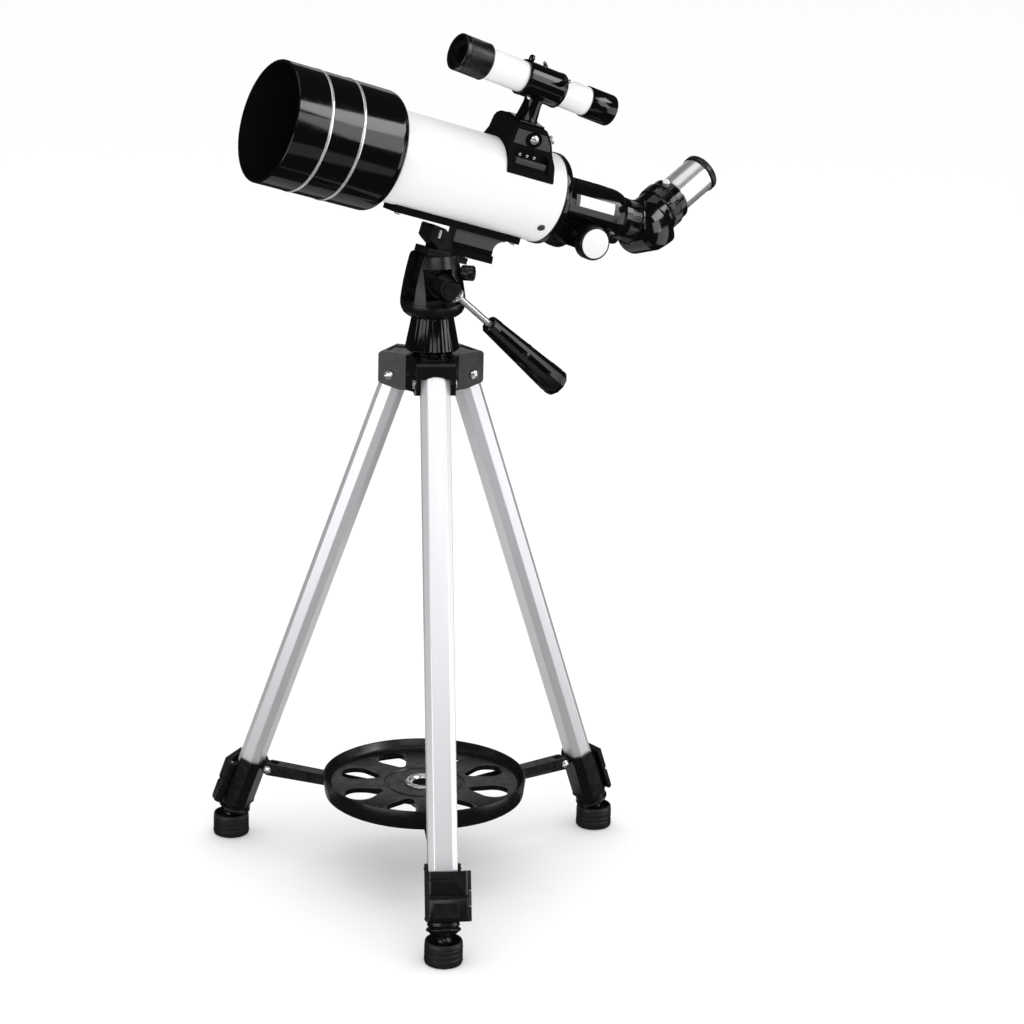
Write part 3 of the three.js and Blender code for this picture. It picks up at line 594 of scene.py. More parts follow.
def hub():
    body = rod("hub", 23, HUB_BOTTOM + 1, HUB_TOP, "z")
    side = [
        (0, HUB_BOTTOM), (24, HUB_BOTTOM), (WING_END - 1.5, HUB_BOTTOM + 3.7), (WING_END, HUB_BOTTOM + 5.5),
        (WING_END, HUB_TOP - 2), (WING_END - 1.8, HUB_TOP), (0, HUB_TOP),
    ]
    space = [
        (13.5, HUB_BOTTOM - 1), (13.5, HUB_TOP - 3.5), (39.1, HUB_TOP - 3.5), (39.7, HUB_TOP - 13),
        (WING_END + 1, HUB_TOP - 13), (WING_END + 1, HUB_BOTTOM - 1),
    ]
    slot = LEG_WIDTH / 2 + 0.5
    bolt = (HINGE_RADIUS, 0, HINGE_HEIGHT)
    join(body, *around_legs(lambda: raised("wing", side, -HUB_EAR, HUB_EAR, "y")))
    cut(
        body,
        *around_legs(lambda: raised("space", space, -slot, slot, "y")),
        *around_legs(lambda: rod("bolt", 2.8, -30, 30, "y", bolt, 24)),
        *around_legs(lambda: block("relief", (26, -9.5, HUB_TOP - 0.8), (37.5, 9.5, HUB_TOP + 1))),
        *around_legs(lambda: rod("bridge_curve", 16, 38, WING_END + 2, "x", (0, 0, HUB_TOP - 26.5))),
    )
    place(body, TRIPOD, "root", "satin", ["hub"], bevel=0.6)


def neck_cone():
    flare = HUB_TOP + 4.5
    cone = turned(
        "neck_cone",
        [
            (HUB_TOP + 0.3, 0), (HUB_TOP + 0.3, 16.4), (flare - 1.4, 16.4), (flare - 1.4, 20.5),
            (flare, 22.4), (flare + 0.8, 22.8), (flare + 1.8, 22.4, True), (HEAD_BOTTOM - 2, 17.6, True),
            (HEAD_BOTTOM - 0.9, 17.4), (HEAD_BOTTOM - 0.3, 16.9), (HEAD_BOTTOM - 0.3, 6),
            (HEAD_BOTTOM + 8, 6), (HEAD_BOTTOM + 8, 0),
        ],
        "z",
        flutes=(26, 0.3, 2),
    )
    place(cone, TRIPOD, "root", "gloss", ["neck_cone"], bevel=0.15)


def petal(spin):
    """A rounded drop: a small circle near the tray's centre joined to a large one near its rim."""
    outline = [*arc((45, 0), 4.5, 120, 240, 6), *arc((62.5, 0), 13.2, -120, 120, 24)]
    return moved(raised("petal", outline, TRAY_UNDER - 1, TRAY_TOP), turn(spin, "Z"))


def tray():
    rim = TRAY_RADIUS
    dish = turned(
        "tray_dish",
        [
            (TRAY_UNDER, 0), (TRAY_UNDER, rim - 6.4), (TRAY_BOTTOM + 0.4, rim - 5.6),
            (TRAY_BOTTOM, rim - 5), (TRAY_BOTTOM, rim - 3.4), (TRAY_BOTTOM + 0.8, rim - 2.3),
            (TRAY_BOTTOM + 2.2, rim - 1.8), (TRAY_TOP - 1.2, rim - 0.1), (TRAY_TOP - 0.3, rim - 0.4),
            (TRAY_TOP, rim - 1.2), (TRAY_TOP - 0.3, rim - 2), (TRAY_TOP - 1.2, rim - 2.5),
            (TRAY_FLOOR + 2.6, rim - 4.8), (TRAY_FLOOR + 0.7, rim - 6.2), (TRAY_FLOOR, rim - 8),
            (TRAY_FLOOR, 35), (TRAY_FLOOR - 0.7, 34.5), (TRAY_FLOOR - 0.7, 32.6), (TRAY_FLOOR, 32.1),
            (TRAY_FLOOR, 0),
        ],
        "z",
        160,
    )
    notch_low = (rim - 9, -6.6, TRAY_BOTTOM - 1)
    notch_high = (rim + 1, 6.6, TRAY_UNDER - 1.6)
    cut(
        dish,
        rod("centre", 12, TRAY_UNDER - 1, TRAY_TOP, "z"),
        *[petal((i + 0.5) * 45) for i in range(8)],
        *around_legs(lambda: block("notch", notch_low, notch_high)),
    )
    place(dish, TRIPOD, "tray_hub", "satin", ["tray"], bevel=0.35)
    plate = TRAY_FLOOR + 0.3
    eyelet = turned(
        "tray_eyelet",
        [
            (62, 0), (62, 3.2), (plate - 1.6, 3.2), (plate - 1.6, 11.5), (plate, 11.5), (plate, 17),
            (plate + 0.9, 16.9), (plate + 1.8, 16), (plate + 2.3, 14.5), (plate + 2, 13.2),
            (plate + 1, 12.1), (plate - 0.6, 11.2), (plate - 1, 9.5), (plate - 1, 0),
        ],
        "z",
    )
    place(eyelet, TRIPOD, "tray_hub", "chrome", ["tray_screw"], bevel=0)
    # A flat black disc in the eyelet's dished top: painted shade for the dark hollow at its centre.
    hollow_shade = turned(
        "tray_hollow_shade",
        [
            (plate - 0.9, 0), (plate - 0.9, 10.6), (plate - 0.5, 10.4), (plate - 0.5, 6.5),
            (plate + 0.4, 6), (plate + 0.4, 0),
        ],
        "z",
    )
    place(hollow_shade, TRIPOD, "tray_hub", "flock", bevel=0.2)


def spreader_hub():
    top = TRAY_UNDER - 0.3
    body = rod("spreader_hub", 11, 61, top, "z")
    for y in (6, -8.4):
        join(body, *around_legs(lambda: block("ear", (6, y, 62), (30, y + 2.4, top))))
    cut(body, *around_legs(lambda: block("space", (11.2, -5.95, 60), (32, 5.95, top + 1))))
    place(body, TRIPOD, "tray_hub", "satin", ["spreader_hub"])


# ---- Head ----
def pan_housing():
    shell = turned(
        "pan_housing",
        [
            (HEAD_BOTTOM, 0), (HEAD_BOTTOM, 21), (HEAD_BOTTOM + 0.9, 22.4), (499, 24.5), (502, 26.2),
            (505.5, 27.1), (508.4, 27.2), (508.6, 26.6), (509.2, 26.6), (509.4, 27.1), (516, 26.3),
            (524, 25), (536, 22.6), (545, 20.5), (547.6, 19.6), (HEAD_TOP, 18), (HEAD_TOP, 0),
        ],
        "z",
    )
    stem = moved(rod("stem", 2.8, 19.5, 30), HEAD.inverted() @ PAN_KNOB)
    cut(
        shell,
        rod("spigot", 6.4, HEAD_BOTTOM - 1, HEAD_BOTTOM + 9, "z"),
        block("channel", (-40, -CHANNEL, 510), (40, CHANNEL, 560)),
        block("handle_slot", (-17, -40, 507), (19.5, 1 - CHANNEL, 527)),
        block("window", (-17, -40, 512), (6, 1 - CHANNEL, 538)),
        rod("far_bore", 5.4, 0, 40, "y", (0, 0, TILT_HEIGHT)),
        rod("near_bore", 10.4, -40, 0, "y", (0, 0, TILT_HEIGHT)),
        stem,
    )
    place(shell, HEAD, "pan_head", "satin", ["pan_body"], bevel=0.6)


def pan_knob():
    knob = turned(
        "pan_clamp_knob",
        [
            (20, 0), (20, 2.4), (23.6, 2.4), (23.6, 5.2), (24.4, 6.1), (25.2, 6.4), (33.7, 6.4),
            (34.6, 5.8), (35, 4.6), (34.4, 4.2), (34.4, 0),
        ],
    )
    place(knob, PAN_KNOB, "pan_clamp", "satin", ["pan_knob"], bevel=0.1)


def tilt_cradle():
    s, h = TILT_AT
    body = rod("tilt_cradle", 11.5, -12, 12, "y", (s, 0, h))
    neck = block("neck", (14, -10, h - 4), (31, 10, PLATE_BOTTOM - 0.3))
    swept = rod("swept", 22.5, -10, 10, "y", (s, 0, h))
    combined(swept, "INTERSECT", [block("rear", (14, -10, h - 4), (60, 10, h + 20.3))])
    boss = rod("boss", 9.4, -HANDLE_SIDE - 5, -11, "y", (s, 0, h))
    step = rod("step", 6.4, -HANDLE_SIDE - 6.2, -20, "y", (s, 0, h))
    join(body, neck, swept, rod("trunnion", 5, 0, 18, "y", (s, 0, h)), boss, step)
    socket = rod("socket", 3.8, 2.5, 20)
    socket.data.transform(SCOPE.inverted() @ HANDLE)
    flat = block("flat", (s - 12, -HANDLE_SIDE - 8, h + 5.2), (s + 12, -HANDLE_SIDE + 8, h + 12))
    cut(body, socket, flat)
    on_scope(body, SCOPE, "satin", ["tilt_cradle"], bevel=0.5)


def platform():
    outline = [
        (8, -46.5), (8, -56), (11, -58.5), (17, -62), (18, PLATE_TOP - 1), (31, PLATE_TOP - 1),
        *arc((9, -65), 22, 0, 62, 8)[1:], (16, -45.6), (9.5, -45.3),
    ]
    jaw = raised("platform", outline, -11, 11, "y")
    join(jaw, block("plate", (9, -12, PLATE_BOTTOM), (47, 12, PLATE_TOP)))
    cut(jaw, rod("hole", 3.4, PLATE_BOTTOM - 1, PLATE_TOP + 1, "z", (39, 0, 0)))
    on_scope(jaw, SCOPE, "satin", ["platform"], bevel=0.9)
    pin = rod("jaw_pin", 1.1, -54.5, -47.5, "z", (15.5, -11.1, 0), 24)
    on_scope(pin, SCOPE, "chrome", bevel=0.2)
    screw = rod("platform_screw", 3.1, -71, -57, "z", (39, 0, 0))
    join(screw, rod("head", 6.4, -74.6, PLATE_BOTTOM - 0.3, "z", (39, 0, 0)))
    place(screw, SCOPE, "platform_clamp", "chrome", ["platform_screw"], bevel=0.3)


def handle():
    bar = rod("handle_rod", 2.9, 3.5, 132, sides=48)
    flange = [(10.6, 0), (10.6, 5.7), (11.1, 6.3), (12.3, 6.3), (13.1, 5.4), (13.4, 4), (13.4, 0)]
    place(join(bar, turned("collar", flange)), HANDLE, "handle", "chrome", ["handle_rod"], bevel=0.1)
    grip = turned(
        "handle_grip",
        [
            (50.5, 3.6), (50.5, 6.6), (51.6, 7.8), (126, 11.8), (132.5, 12.1), (133.1, 11.5), (133.9, 11.5),
            (134.5, 12.1), (138, 12), (139.5, 10.6), (139.5, 0), (132.4, 0), (132.4, 3.6), (50.5, 3.6),
        ],
        sides=10,
    )
    slots = []
    for spin in range(18, 378, 72):
        slots.append(moved(block("recess", (60, -1.8, 6.4), (92, 1.8, 20)), turn(spin, "X")))
        slots.append(moved(block("recess", (95, -2.2, 8.6), (121, 2.2, 20)), turn(spin, "X")))
    cut(grip, *slots)
    place(grip, HANDLE, "handle", "gloss", ["handle_grip"], bevel=0.5, smooth=25)


# ---- Telescope ----
def mount_rail():
    strip = block("mount_rail", (-31, -10, -43), (91, 10, -36))
    corner = arc((80, -53.5), 9.5, 180, 90, 6)
    web = [(32, -42), (32, -54), (70.5, -54), *corner, (80, -42)]
    section = [
        (-9.5, PLATE_TOP + 0.3), (9.5, PLATE_TOP + 0.3), (8.4, -58.5), (5, -57.5), (5, -53), (-5, -53),
        (-5, -57.5), (-8.4, -58.5),
    ]
    cut(
        join(strip, raised("foot", section, 32, 71.7, "x")),
        rod("tube", TUBE_RADIUS + 0.4, -60, 120, "x", sides=96),
        rod("thread", 3.4, -66, -56, "z", (39, 0, 0)),
    )
    on_scope(strip, SCOPE, "flock", ["mount_rail"], bevel=0.4)
    rib = raised("rail_web", web, -6.5, 6.5, "y")
    cut(rib, rod("thread", 3.4, -66, -50, "z", (39, 0, 0)))
    on_scope(rib, SCOPE, "grey", bevel=0.4)
    for i, s in enumerate((-26, 86)):
        below = SCOPE @ shift(s, -7.5, -43) @ turn(90, "Y")
        screw_head(f"rail_screw_{i + 1}", 2.6, 1.6, below)


def main_tube():
    tube = pipe("main_tube", TUBE_RADIUS, TUBE_RADIUS - TUBE_WALL, -64, TUBE_REAR, sides=160)
    on_scope(tube, SCOPE, "white", ["main_tube"], bevel=0.2)
    beside = SCOPE @ turn(38, "X") @ shift(95, -TUBE_RADIUS + 0.2, 0) @ turn(-90, "Z")
    screw_head("tube_screw", 3.3, 1.4, beside, finish="grey")


def dew_shield():
    bore = DEW_RADIUS - 2.2
    corner = 9.0
    shoulder = arc((DEW_REAR - corner, DEW_RADIUS - 0.3 - corner), corner, 90, 6, 10)
    shield = turned(
        "dew_shield",
        [
            (DEW_FRONT, bore), (DEW_FRONT, DEW_RADIUS - 0.6), (DEW_FRONT + 0.7, DEW_RADIUS), *shoulder,
            (DEW_REAR, TUBE_RADIUS + 0.4), (DEW_REAR - 13, TUBE_RADIUS + 0.4), (DEW_REAR - 13, bore),
            (DEW_FRONT, bore),
        ],
        sides=192,
    )
    on_scope(shield, SCOPE, "gloss", ["dew_shield"], bevel=0.25)
    liner = pipe("dew_liner", bore, bore - 0.5, DEW_FRONT + 1.2, DEW_REAR - 14, sides=128)
    on_scope(liner, SCOPE, "flock", bevel=0)
    outer = DEW_RADIUS + 0.3
    for i, s in enumerate(DEW_RINGS):
        profile = [
            (s - 1.25, outer - 1), (s - 1.25, outer - 0.2), (s - 0.8, outer), (s + 0.8, outer),
            (s + 1.25, outer - 0.2), (s + 1.25, outer - 1), (s - 1.25, outer - 1),
        ]
        on_scope(turned(f"dew_ring_{i + 1}", profile, sides=192), SCOPE, "bright", bevel=0)


def objective():
    cell = turned(
        "objective_cell",
        [
            (-82, 35.5), (-82, 43), (-80, 47.2), (-64.3, 47.2), (-64.3, 36.4), (-56, 36.4), (-56, 34),
            (-70, 34), (-70, 35.5), (-82, 35.5),
        ],
        sides=128,
    )
    on_scope(cell, SCOPE, "flock", ["objective_cell"])
    front = [(-79.6 + 5.6 * (r / 35) ** 2, r) for r in (0, 5, 10, 15, 20, 25, 30, 35)]
    lens = turned("objective_lens", [*front, (-71, 35), (-69, 0)], sides=128)
    on_scope(lens, SCOPE, "lens", ["objective_lens"], bevel=0.2)


def focuser_body():
    r = FOCUSER_RADIUS
    rear = TUBE_REAR
    body = turned(
        "focuser_body",
        [
            (94, 0), (94, 36.5), (rear + 0.3, 36.5), (rear + 0.3, TUBE_RADIUS + 0.8),
            (rear + 4.2, TUBE_RADIUS + 0.8), (rear + 6.2, TUBE_RADIUS - 0.4),
            (rear + 7.2, TUBE_RADIUS - 2.6), (rear + 11, r + 3.2), (rear + 12.6, r + 0.9), (rear + 14.5, r),
            (169, r), (174, r - 0.6), (178, r - 1.9), (180, r - 3.6), (180, 0),
        ],
        sides=128,
    )
    box = [(116, -10), (116, -24), (136, -32.5), (157, -32.5), (160, -10)]
    housing = raised("housing", box, -13, 13, "y")
    barrel = rod("barrel", 9, -20.5, 20.5, "y", (PINION[0], 0, PINION[1]))
    ribs = [block("rib", (s, -7, r - 3), (s + 1.6, 7, r + 0.25)) for s in range(126, 160, 4)]
    join(body, housing, barrel, *ribs)
    lock = moved(moved(rod("lock", 2.3, 17, 30, "z"), turn(125, "X")), shift(169, 0, 0))
    cut(
        body,
        rod("bore", DRAW_RADIUS + 0.5, 93, 186, sides=96),
        block("rack_groove", (93, -4.3, -20.4), (186, 4.3, -17)),
        rod("shaft_hole", 3.3, -22, 22, "y", (PINION[0], 0, PINION[1])),
        lock,
    )
    on_scope(body, SCOPE, "gloss", ["focuser_body"], bevel=0.35)


def label_plate():
    """A blank plate with grey ends that follows the focuser's curve, on the side of the near knob."""
    stretches = (("middle", 129, 164, "label"), ("front", 125, 129, "grey"), ("rear", 164, 168, "grey"))
    for name, start, end, finish in stretches:
        outer = arc((0, 0), FOCUSER_RADIUS + 0.35, 151, 175, 14)
        inner = arc((0, 0), FOCUSER_RADIUS - 0.6, 175, 151, 14)
        plate = raised(f"label_{name}", outer + inner, start, end, "x")
        on_scope(plate, SCOPE, finish, bevel=0.1)


def draw_tube():
    tube = pipe("draw_tube", DRAW_RADIUS, EYEPIECE_RADIUS + 0.35, 127, 186)
    join(tube, block("rack", (128, -3.8, -19.9), (184, 3.8, -17.6)))
    teeth = [raised("gap", [(s, -20.5), (s + 0.7, -20.5), (s + 0.5, -19.2), (s + 0.2, -19.2)], -5, 5, "y")
             for s in range(129, 183, 2)]
    cut(tube, *teeth)
    place(tube, SCOPE, "draw", "gloss", ["draw_tube"], bevel=0.15)


def focus_knobs():
    s, h = PINION
    shaft = rod("focus_shaft", 3, -27, 27, "y", (s, 0, h), 32)
    teeth = [(-6, 0), (-6, 3.8, True), (6, 3.8, True), (6, 0)]
    pinion = turned("pinion", teeth, "y", flutes=(12, 0.7, 3), at=(s, 0, h))
    place(join(shaft, pinion), SCOPE, "focus_knobs", "chrome", ["focus_shaft"], bevel=0.1)
    for name, spin in (("near", 180), ("far", 0)):
        where = SCOPE @ shift(s, 0, h) @ turn(spin, "X")
        knob = turned(
            f"focus_knob_{name}",
            [
                (22.9, 3.3), (22.9, 11.6), (24, 13.2), (25.4, KNOB_RADIUS, True), (34.2, KNOB_RADIUS, True),
                (35.4, 13.9), (35.9, 13.1), (35.7, 12.7), (35, 12.6), (35, 0), (27.6, 0), (27.6, 3.3),
                (22.9, 3.3),
            ],
            "y",
            flutes=(44, 0.6, 3),
        )
        place(knob, where, "focus_knobs", "satin", [f"focus_knob_{name}"], bevel=0.1)
        disc = [(35.1, 0), (35.1, 12.4), (35.9, 12.4), (36.2, 11.8), (36.4, 0)]
        cap = turned(f"knob_cap_{name}", disc, "y")
        place(cap, where, "focus_knobs", "cap", bevel=0.1)


def focus_lock():
    where = axes(origin_of("focus_lock_turn"), axis_of("focus_lock_turn"), axis_of("focus_travel"))
    profile = [(19.4, 0), (19.4, 2), (25, 2), (25, 2.8), (27, 2.8), (27, 2.2), (31.4, 2.2), (31.4, 0)]
    screw = turned("focus_lock_screw", profile)
    place(screw, where, "focus_lock", "chrome", ["focus_lock_screw"], bevel=0.2)
    sleeve = [
        (27.3, 2.3), (27.3, 3.5), (27.8, 4, True), (31.4, 4, True), (32, 3.4), (32, 0), (31.5, 0),
        (31.5, 2.3), (27.3, 2.3),
    ]
    grip = turned("focus_lock_grip", sleeve, flutes=(14, 0.35, 3))
    place(grip, where, "focus_lock", "satin", bevel=0)


# ---- Diagonal and eyepiece ----
def diagonal():
    nose = -46
    half = 25
    outline = [
        (-9, 17), (-9, -14), *arc((5, -6), 16.5, 210, 290, 8), (25.5, -9.5), (28.5, -6.5), (21, 2),
        (19.5, 17),
    ]
    body = raised("diagonal_housing", outline, -half, half, "y")
    dome = moved(ball("round", 29, (4, 0, -2), 48), Matrix.Diagonal((1, 0.76, 1, 1)))
    combined(body, "INTERSECT", [dome])
    sleeve = turned(
        "sleeve",
        [
            (nose, 0), (nose, EYEPIECE_RADIUS), (-34, EYEPIECE_RADIUS), (-33.6, 17.6), (-32, 18.2),
            (-31, 18.2, True), (-12, 18.2, True), (-11, 18.4), (-10.4, 19.4), (-8, 19.4), (-8, 0),
        ],
        flutes=(64, 0.3, 3),
    )
    holder = turned(
        "holder",
        [
            (0, 0), (0, 19.2), (20, 19.2), (21, 20.2), (22.2, 20.6, True), (31, 20.6, True), (32.2, 20.2),
            (33, 19.2), (39.8, 19), (41, 18), (41, 0),
        ],
        flutes=(56, 0.45, 3),
    )
    towards = DIAGONAL.inverted() @ EYEPIECE
    join(body, sleeve, moved(holder, towards))
    bore = rod("bore", EYEPIECE_RADIUS + 0.5, 10, 42)
    screw_hole = rod("screw_hole", 2, 12, 19.6)
    where = axes(origin_of("diagonal_screw_turn"), axis_of("diagonal_screw_turn"), axis_of("eyepiece_pull"))
    cut(
        body,
        rod("inlet", 14, nose - 1, 0),
        ball("cavity", 16.5),
        moved(bore, towards),
        moved(screw_hole, DIAGONAL.inverted() @ where),
    )
    place(body, DIAGONAL, "diagonal", "gloss", ["diagonal_housing"], bevel=0.6)
    prism = [(-11, -8), (-11, 11), (-2, 14), (8, 8), (11, -4), (2, -12)]
    place(raised("diagonal_prism", prism, -8, 8, "y"), DIAGONAL, "diagonal", "lens", ["diagonal_prism"])
    screw = turned(
        "diagonal_screw",
        [
            (16.8, 0), (16.8, 1.7), (20.9, 1.7), (20.9, 2.7), (21.4, 3.2, True), (25, 3.2, True),
            (25.5, 2.7), (25.5, 0),
        ],
        flutes=(16, 0.3, 3),
    )
    place(screw, where, "diagonal_clamp", "chrome", ["diagonal_screw"], bevel=0)


def eyepiece():
    barrel = turned(
        "eyepiece_barrel",
        [
            (20, 14.5), (20, EYEPIECE_RADIUS), (42.5, EYEPIECE_RADIUS), (42.8, EYEPIECE_RADIUS - 0.25),
            (43.4, EYEPIECE_RADIUS - 0.25), (43.7, EYEPIECE_RADIUS), (75.6, EYEPIECE_RADIUS),
            (76, EYEPIECE_RADIUS - 0.4), (76, 14.5), (20, 14.5),
        ],
        sides=128,
    )
    place(barrel, EYEPIECE, "eyepiece", "silver", ["eyepiece_barrel"], bevel=0.1)
    cup = turned(
        "eyecup",
        [
            (76.3, 9), (76.3, 16.2), (76.9, 16.9), (77.6, 16.9, True), (81, 16.9, True), (82.1, 16.2),
            (82.4, 15), (82.2, 11.5), (79, 9), (76.3, 9),
        ],
        flutes=(60, 0.25, 3),
    )
    place(cup, EYEPIECE, "eyepiece", "satin", ["eyecup"], bevel=0.1)
    lens = turned("eye_lens", [(73.6, 0), (74.4, 6), (75.4, 10.5), (76, 14.4), (73, 14.4), (73, 0)])
    place(lens, EYEPIECE, "eyepiece", "lens", bevel=0.1)


# ---- Finder ----
def finder_base():
    across = [
        (-17, 59), (17, 59), (19.5, 55.5), (21, 41), (24, 36), (34, 21), (32, 17),
        (-32, 17), (-34, 21), (-24, 36), (-21, 41), (-19.5, 55.5),
    ]
    along = [(45, 10), (45, 51), (46.2, 54.5), (49, 57), (75, 59), (84, 47), (90, 32), (90, 10)]
    window = [(49, 25), (84, 25), *arc((80, 33.5), 4, 0, 60, 4), (77.5, 39.5), (52, 39.5), (49, 36)]
    recess = [*arc((67, 48), 6.2, -90, 90, 8), *arc((63.5, 48), 6.2, 90, 270, 8)]
    base = raised("finder_base", across, 40, 92, "x")
    combined(base, "INTERSECT", [raised("along", along, -38, 38, "y")])
    cut(
        base,
        rod("tube", TUBE_RADIUS + 0.4, 30, 100, sides=96),
        *[raised("window", window, *sides, "y") for sides in ((-45, -21), (21, 45))],
        *[raised("recess", recess, *sides, "y") for sides in ((-30, -18.6), (18.6, 30))],
        block("step", (44.5, -18, 57.4), (76, 18, 60)),
    )
    on_scope(base, FINDER_BASE, "flock", ["finder_base"], bevel=0.7)
    # A flat black sheet on the white tube under the base: painted shade, so the tube seen through the base's
    # windows looks dark.
    shade_sheet = arc((0, 0), TUBE_RADIUS + 0.35, 40, 140, 30) + arc((0, 0), TUBE_RADIUS + 0.1, 140, 40, 30)
    on_scope(raised("base_painted_shade", shade_sheet, 46, 88, "x"), FINDER_BASE, "flock", bevel=0)
    slab = block("base_slab", (52, -12, 56.4), (76, 12, 59.1))
    on_scope(slab, FINDER_BASE, "gloss", bevel=0.4)
    for side, reach in (("near", -1), ("far", 1)):
        low, high = sorted((reach * 19.4, reach * 21.6))
        face = [(48, 42), (48, 54), (76, 54), (82.5, 46), (83.5, 42)]
        plate = raised(f"base_plate_{side}", face, low + 0.5, high - 0.6, "y")
        cut(plate, raised("recess", recess, low - 1, high + 1, "y"))
        on_scope(plate, FINDER_BASE, "grey", bevel=0.3)
        inside, outside = sorted((reach * 21, reach * 27))
        ledge = block(f"base_ledge_{side}", (53, inside, 25.2), (82, outside, 31.5))
        on_scope(ledge, FINDER_BASE, "grey", bevel=0.4)
        nut = FINDER_BASE @ shift(67, reach * 18.4, 48) @ turn(reach * 90, "Z")
        screw_head(f"base_nut_{side}", 3.9, 2.4, nut)
        for i, s in enumerate((57, 64, 71)):
            stud = FINDER_BASE @ shift(s, reach * 22, 34) @ turn(reach * 90, "Z")
            screw_head(f"base_stud_{side}_{i + 1}", 1.4, 1, stud)
    for i, y in enumerate((-9, 9)):
        rear = FINDER_BASE @ shift(82, y, 46) @ turn(-35, "Y")
        profile = [
            (0, 0), (0, 1.4), (4, 1.4), (4, 3.4), (4.6, 3.8, True), (7.6, 3.8, True), (8.2, 3.4), (8.2, 0),
        ]
        screw = turned(f"base_screw_{i + 1}", profile, flutes=(12, 0.5, 3))
        on_scope(screw, rear, "chrome", bevel=0)


def finder_bracket():
    post = turned(
        "finder_bracket",
        [(59.3, 0), (59.3, 9.5), (60.4, 9.4), (61.4, 8.9), (72, 7.7), (80, 7.9), (80, 0)],
        "z",
        at=(63.5, 0, 0),
    )
    towards = FINDER_BASE.inverted() @ FINDER
    ring = turned(
        "ring",
        [
            (-19, 0), (-19, 14.5), (-18.4, 14.9), (-16.2, 14.9), (-15.8, 14.6), (15.8, 14.6), (16.2, 14.9),
            (18.4, 14.9), (19, 14.5), (19, 0),
        ],
    )
    ear = rod("ear", 3.4, -17.5, -15.5, "x", (0, 0, 16.5), 32)
    join(post, moved(ring, towards), moved(ear, towards))
    cut(
        post,
        moved(rod("bore", FINDER_RADIUS + 0.5, -25, 25, sides=96), towards),
        moved(rod("eye", 1.7, -20, -12, "x", (0, 0, 16.8), 24), towards),
    )
    on_scope(post, FINDER_BASE, "gloss", ["finder_bracket"], bevel=0.3)
    lip = FINDER @ shift(-9, -8.4, -13) @ turn(-90, "Z") @ turn(-35, "Y")
    screw_head("ring_screw", 1.6, 0.9, lip)


def finder_scope():
    r = FINDER_RADIUS
    tube = turned(
        "finder_tube",
        [
            (-66, 11.4), (-66, 12.5), (-55, 12.5), (-55, r), (20.6, r), (22, 12.2), (50, 12.2), (50, 10.8),
            (22, 10.8), (20, 11.4), (-66, 11.4),
        ],
    )
    on_scope(tube, FINDER, "white", ["finder_tube"], bevel=0.15)
    hood = turned(
        "finder_hood",
        [
            (-82.5, 13), (-82.5, 14.9), (-82, 15.4), (-79.4, 15.4), (-79, 14.9), (-78.2, 14.9),
            (-77.8, 15.3), (-77, 15.3, True), (-57.5, 15.3, True), (-57, 15.4), (-56.2, 15.4),
            (-55.5, 14.8), (-55.5, 13), (-82.5, 13),
        ],
        flutes=(56, 0.4, 3),
    )
    on_scope(hood, FINDER, "satin", ["finder_hood"], bevel=0)
    lens = turned("finder_lens", [(-64, 0), (-63.6, 5), (-62, 11), (-60, 11), (-60, 0)])
    on_scope(lens, FINDER, "flock", ["finder_objective"], bevel=0.1)
    eye = turned(
        "finder_eyepiece",
        [
            (46, 12.5), (46, 12.9), (46.6, 13.2), (71.2, 13.2), (72.2, 12.7), (72.6, 11.8), (72.6, 9.5),
            (71.4, 6.5), (69, 5), (50.4, 5), (50.4, 12.5), (46, 12.5),
        ],
    )
    on_scope(eye, FINDER, "gloss", ["finder_eyepiece"], bevel=0.1)


def finder_screws():
    for name in ("near", "far"):
        joint_name = f"finder_screw_{name}_turn"
        where = axes(origin_of(joint_name), axis_of(joint_name), axis_of("focus_travel"))
        body = f"finder_clamp_{name}"
        profile = [(13.4, 0), (13.4, 1.5), (16, 1.5), (16, 2.6), (17, 2.7), (27, 1.5), (27, 0)]
        screw = turned(f"finder_screw_{name}", profile, sides=32)
        place(screw, where, body, "gloss", [f"finder_screw_{name}"], bevel=0.1)
        point = [(27.1, 0), (27.1, 1.4), (29, 1.3), (30, 0.7), (30, 0)]
        tip = turned(f"finder_screw_tip_{name}", point, sides=32)
        place(tip, where, body, "chrome", bevel=0)


# ---- Stage, lights and camera ----
LIGHT_CENTRE = Vector((0, 0, 0.45))
AREA_POWER = 4.0  # watts for each square metre and unit of radiance
# Softboxes: azimuth from the front, elevation, distance, width, height and radiance.
# Those in SHINE_ONLY show in glossy surfaces and light no matt ones, so the white tube keeps its shading.
SOFTBOXES = {
    "left": (-50, -5, 2.2, 2.0, 1.4, 1.45),
    "right": (80, -8, 2.2, 1.4, 1.35, 1.25),
    "front": (5, 28, 2.4, 1.7, 1.0, 1.4),
    "upper_band": (78, 34.5, 2.2, 1.3, 0.58, 4.6),
    "lower_band": (61, 15, 2.2, 0.86, 0.86, 2.2),
    "behind": (176, 16, 2.4, 1.2, 0.6, 0.4),
    "top": (0, 89, 2.0, 1.6, 1.6, 0.7),
}
SHINE_ONLY = ("left", "right", "upper_band", "lower_band", "behind", "back_card", "front_card")
# Floor cards: x, y and radiance, and the width, depth and height over the floor that they share.
FLOOR_CARDS = {"back_card": (-0.1, 0.40, 0.3), "front_card": (0.45, -0.75, 0.35)}
CARD_WIDTH, CARD_DEPTH, CARD_HEIGHT = 0.7, 0.5, 0.004
# Strength of the white surroundings for each kind of ray
WORLD_LEVELS = {"Is Camera Ray": 1.0, "Is Diffuse Ray": 1.04, "Is Glossy Ray": 0.03}


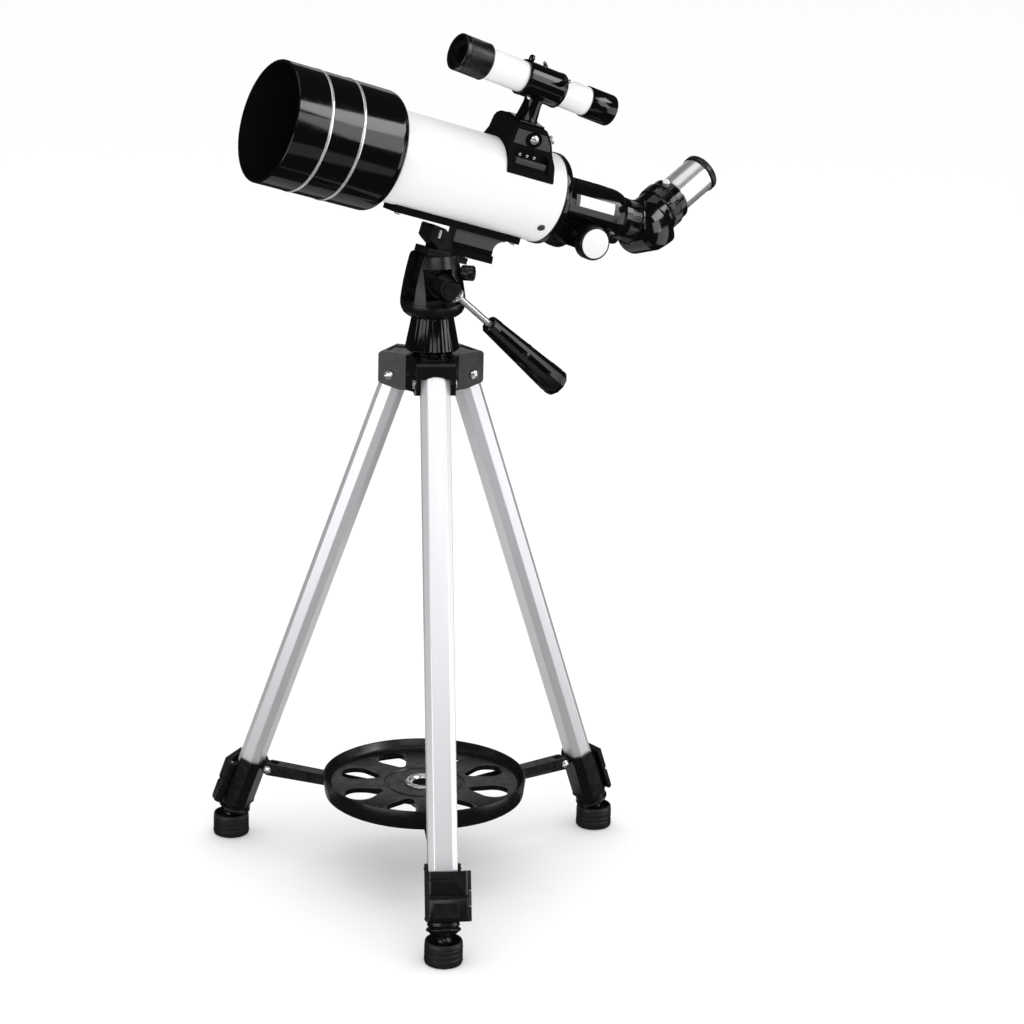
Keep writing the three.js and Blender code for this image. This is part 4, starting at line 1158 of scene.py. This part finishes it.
def softbox(name, azimuth, elevation, distance, width, height, radiance):
    """A rectangular light that faces the object and isn't seen by the camera."""
    flat = math.cos(math.radians(elevation))
    away = Vector((
        math.sin(math.radians(azimuth)) * flat,
        -math.cos(math.radians(azimuth)) * flat,
        math.sin(math.radians(elevation)),
    ))
    data = bpy.data.lights.new(name, "AREA")
    data.shape = "RECTANGLE"
    data.size, data.size_y = width, height
    data.energy = AREA_POWER * radiance * width * height
    light = bpy.data.objects.new(name, data)
    light.location = LIGHT_CENTRE + away * distance
    light.rotation_euler = away.to_track_quat("Z", "Y").to_euler()
    light.visible_camera = False
    light.visible_diffuse = name not in SHINE_ONLY
    bpy.context.scene.collection.objects.link(light)
    return light


def floor_cards():
    """Dim cards on the floor behind and before the tripod, mirrored in the lower half of the dark tube."""
    for name, (x, y, radiance) in FLOOR_CARDS.items():
        card = softbox(name, 180, 0, 0.4, CARD_WIDTH, CARD_DEPTH, radiance)
        card.location = (x, y, CARD_HEIGHT)
        card.rotation_euler = (math.pi, 0, 0)


def studio():
    bpy.ops.mesh.primitive_plane_add(size=60)
    floor = bpy.context.object
    floor.name = "floor"
    paper = bpy.data.materials.new("paper")
    paper.use_nodes = True
    shader = paper.node_tree.nodes["Principled BSDF"]
    shader.inputs["Base Color"].default_value = (0.97, 0.97, 0.97, 1)
    shader.inputs["Roughness"].default_value = 0.9
    shader.inputs["Specular IOR Level"].default_value = 0.1
    floor.data.materials.append(paper)
    floor.visible_glossy = False

    world = bpy.data.worlds.new("studio")
    world.cycles.sampling_method = "NONE"
    bpy.context.scene.world = world
    world.use_nodes = True
    tree = world.node_tree
    sky = tree.nodes["Background"]
    sky.inputs["Color"].default_value = (1, 1, 1, 1)
    path = node(tree, "ShaderNodeLightPath")
    level = None
    for ray, strength in WORLD_LEVELS.items():
        step = node(tree, "ShaderNodeMath", operation="MULTIPLY_ADD")
        tree.links.new(path.outputs[ray], step.inputs[0])
        step.inputs[1].default_value = strength
        step.inputs[2].default_value = 0
        if level:
            tree.links.new(level, step.inputs[2])
        level = step.outputs[0]
    tree.links.new(level, sky.inputs["Strength"])

    for name, settings in SOFTBOXES.items():
        softbox(name, *settings)
    floor_cards()
    bpy.context.scene.view_settings.view_transform = "Standard"


def camera():
    yaw, pitch, roll = (math.radians(a) for a in (CAMERA_YAW, CAMERA_PITCH, CAMERA_ROLL))
    back = Vector((math.sin(yaw) * math.cos(pitch), -math.cos(yaw) * math.cos(pitch), math.sin(pitch)))
    level = Vector((math.cos(yaw), math.sin(yaw), 0))
    above = back.cross(level)
    right = level * math.cos(roll) + above * math.sin(roll)
    data = bpy.data.cameras.new("camera")
    data.lens = CAMERA_LENS
    data.sensor_width = 36
    data.clip_start, data.clip_end = 0.05, 100
    made = bpy.data.objects.new("camera", data)
    bpy.context.scene.collection.objects.link(made)
    made.matrix_world = axes(Vector(CAMERA_AIM) + back * CAMERA_DISTANCE, right, back.cross(right))
    bpy.context.scene.camera = made


# ---- The object ----
for leg_name in SIDES:
    leg(leg_name)
for build in (
    hub, neck_cone, tray, spreader_hub, pan_housing, pan_knob, tilt_cradle, platform, handle,
    mount_rail, main_tube, dew_shield, objective, focuser_body, label_plate, draw_tube, focus_knobs,
    focus_lock, diagonal, eyepiece, finder_base, finder_bracket, finder_scope, finder_screws, studio, camera,
):
    build()
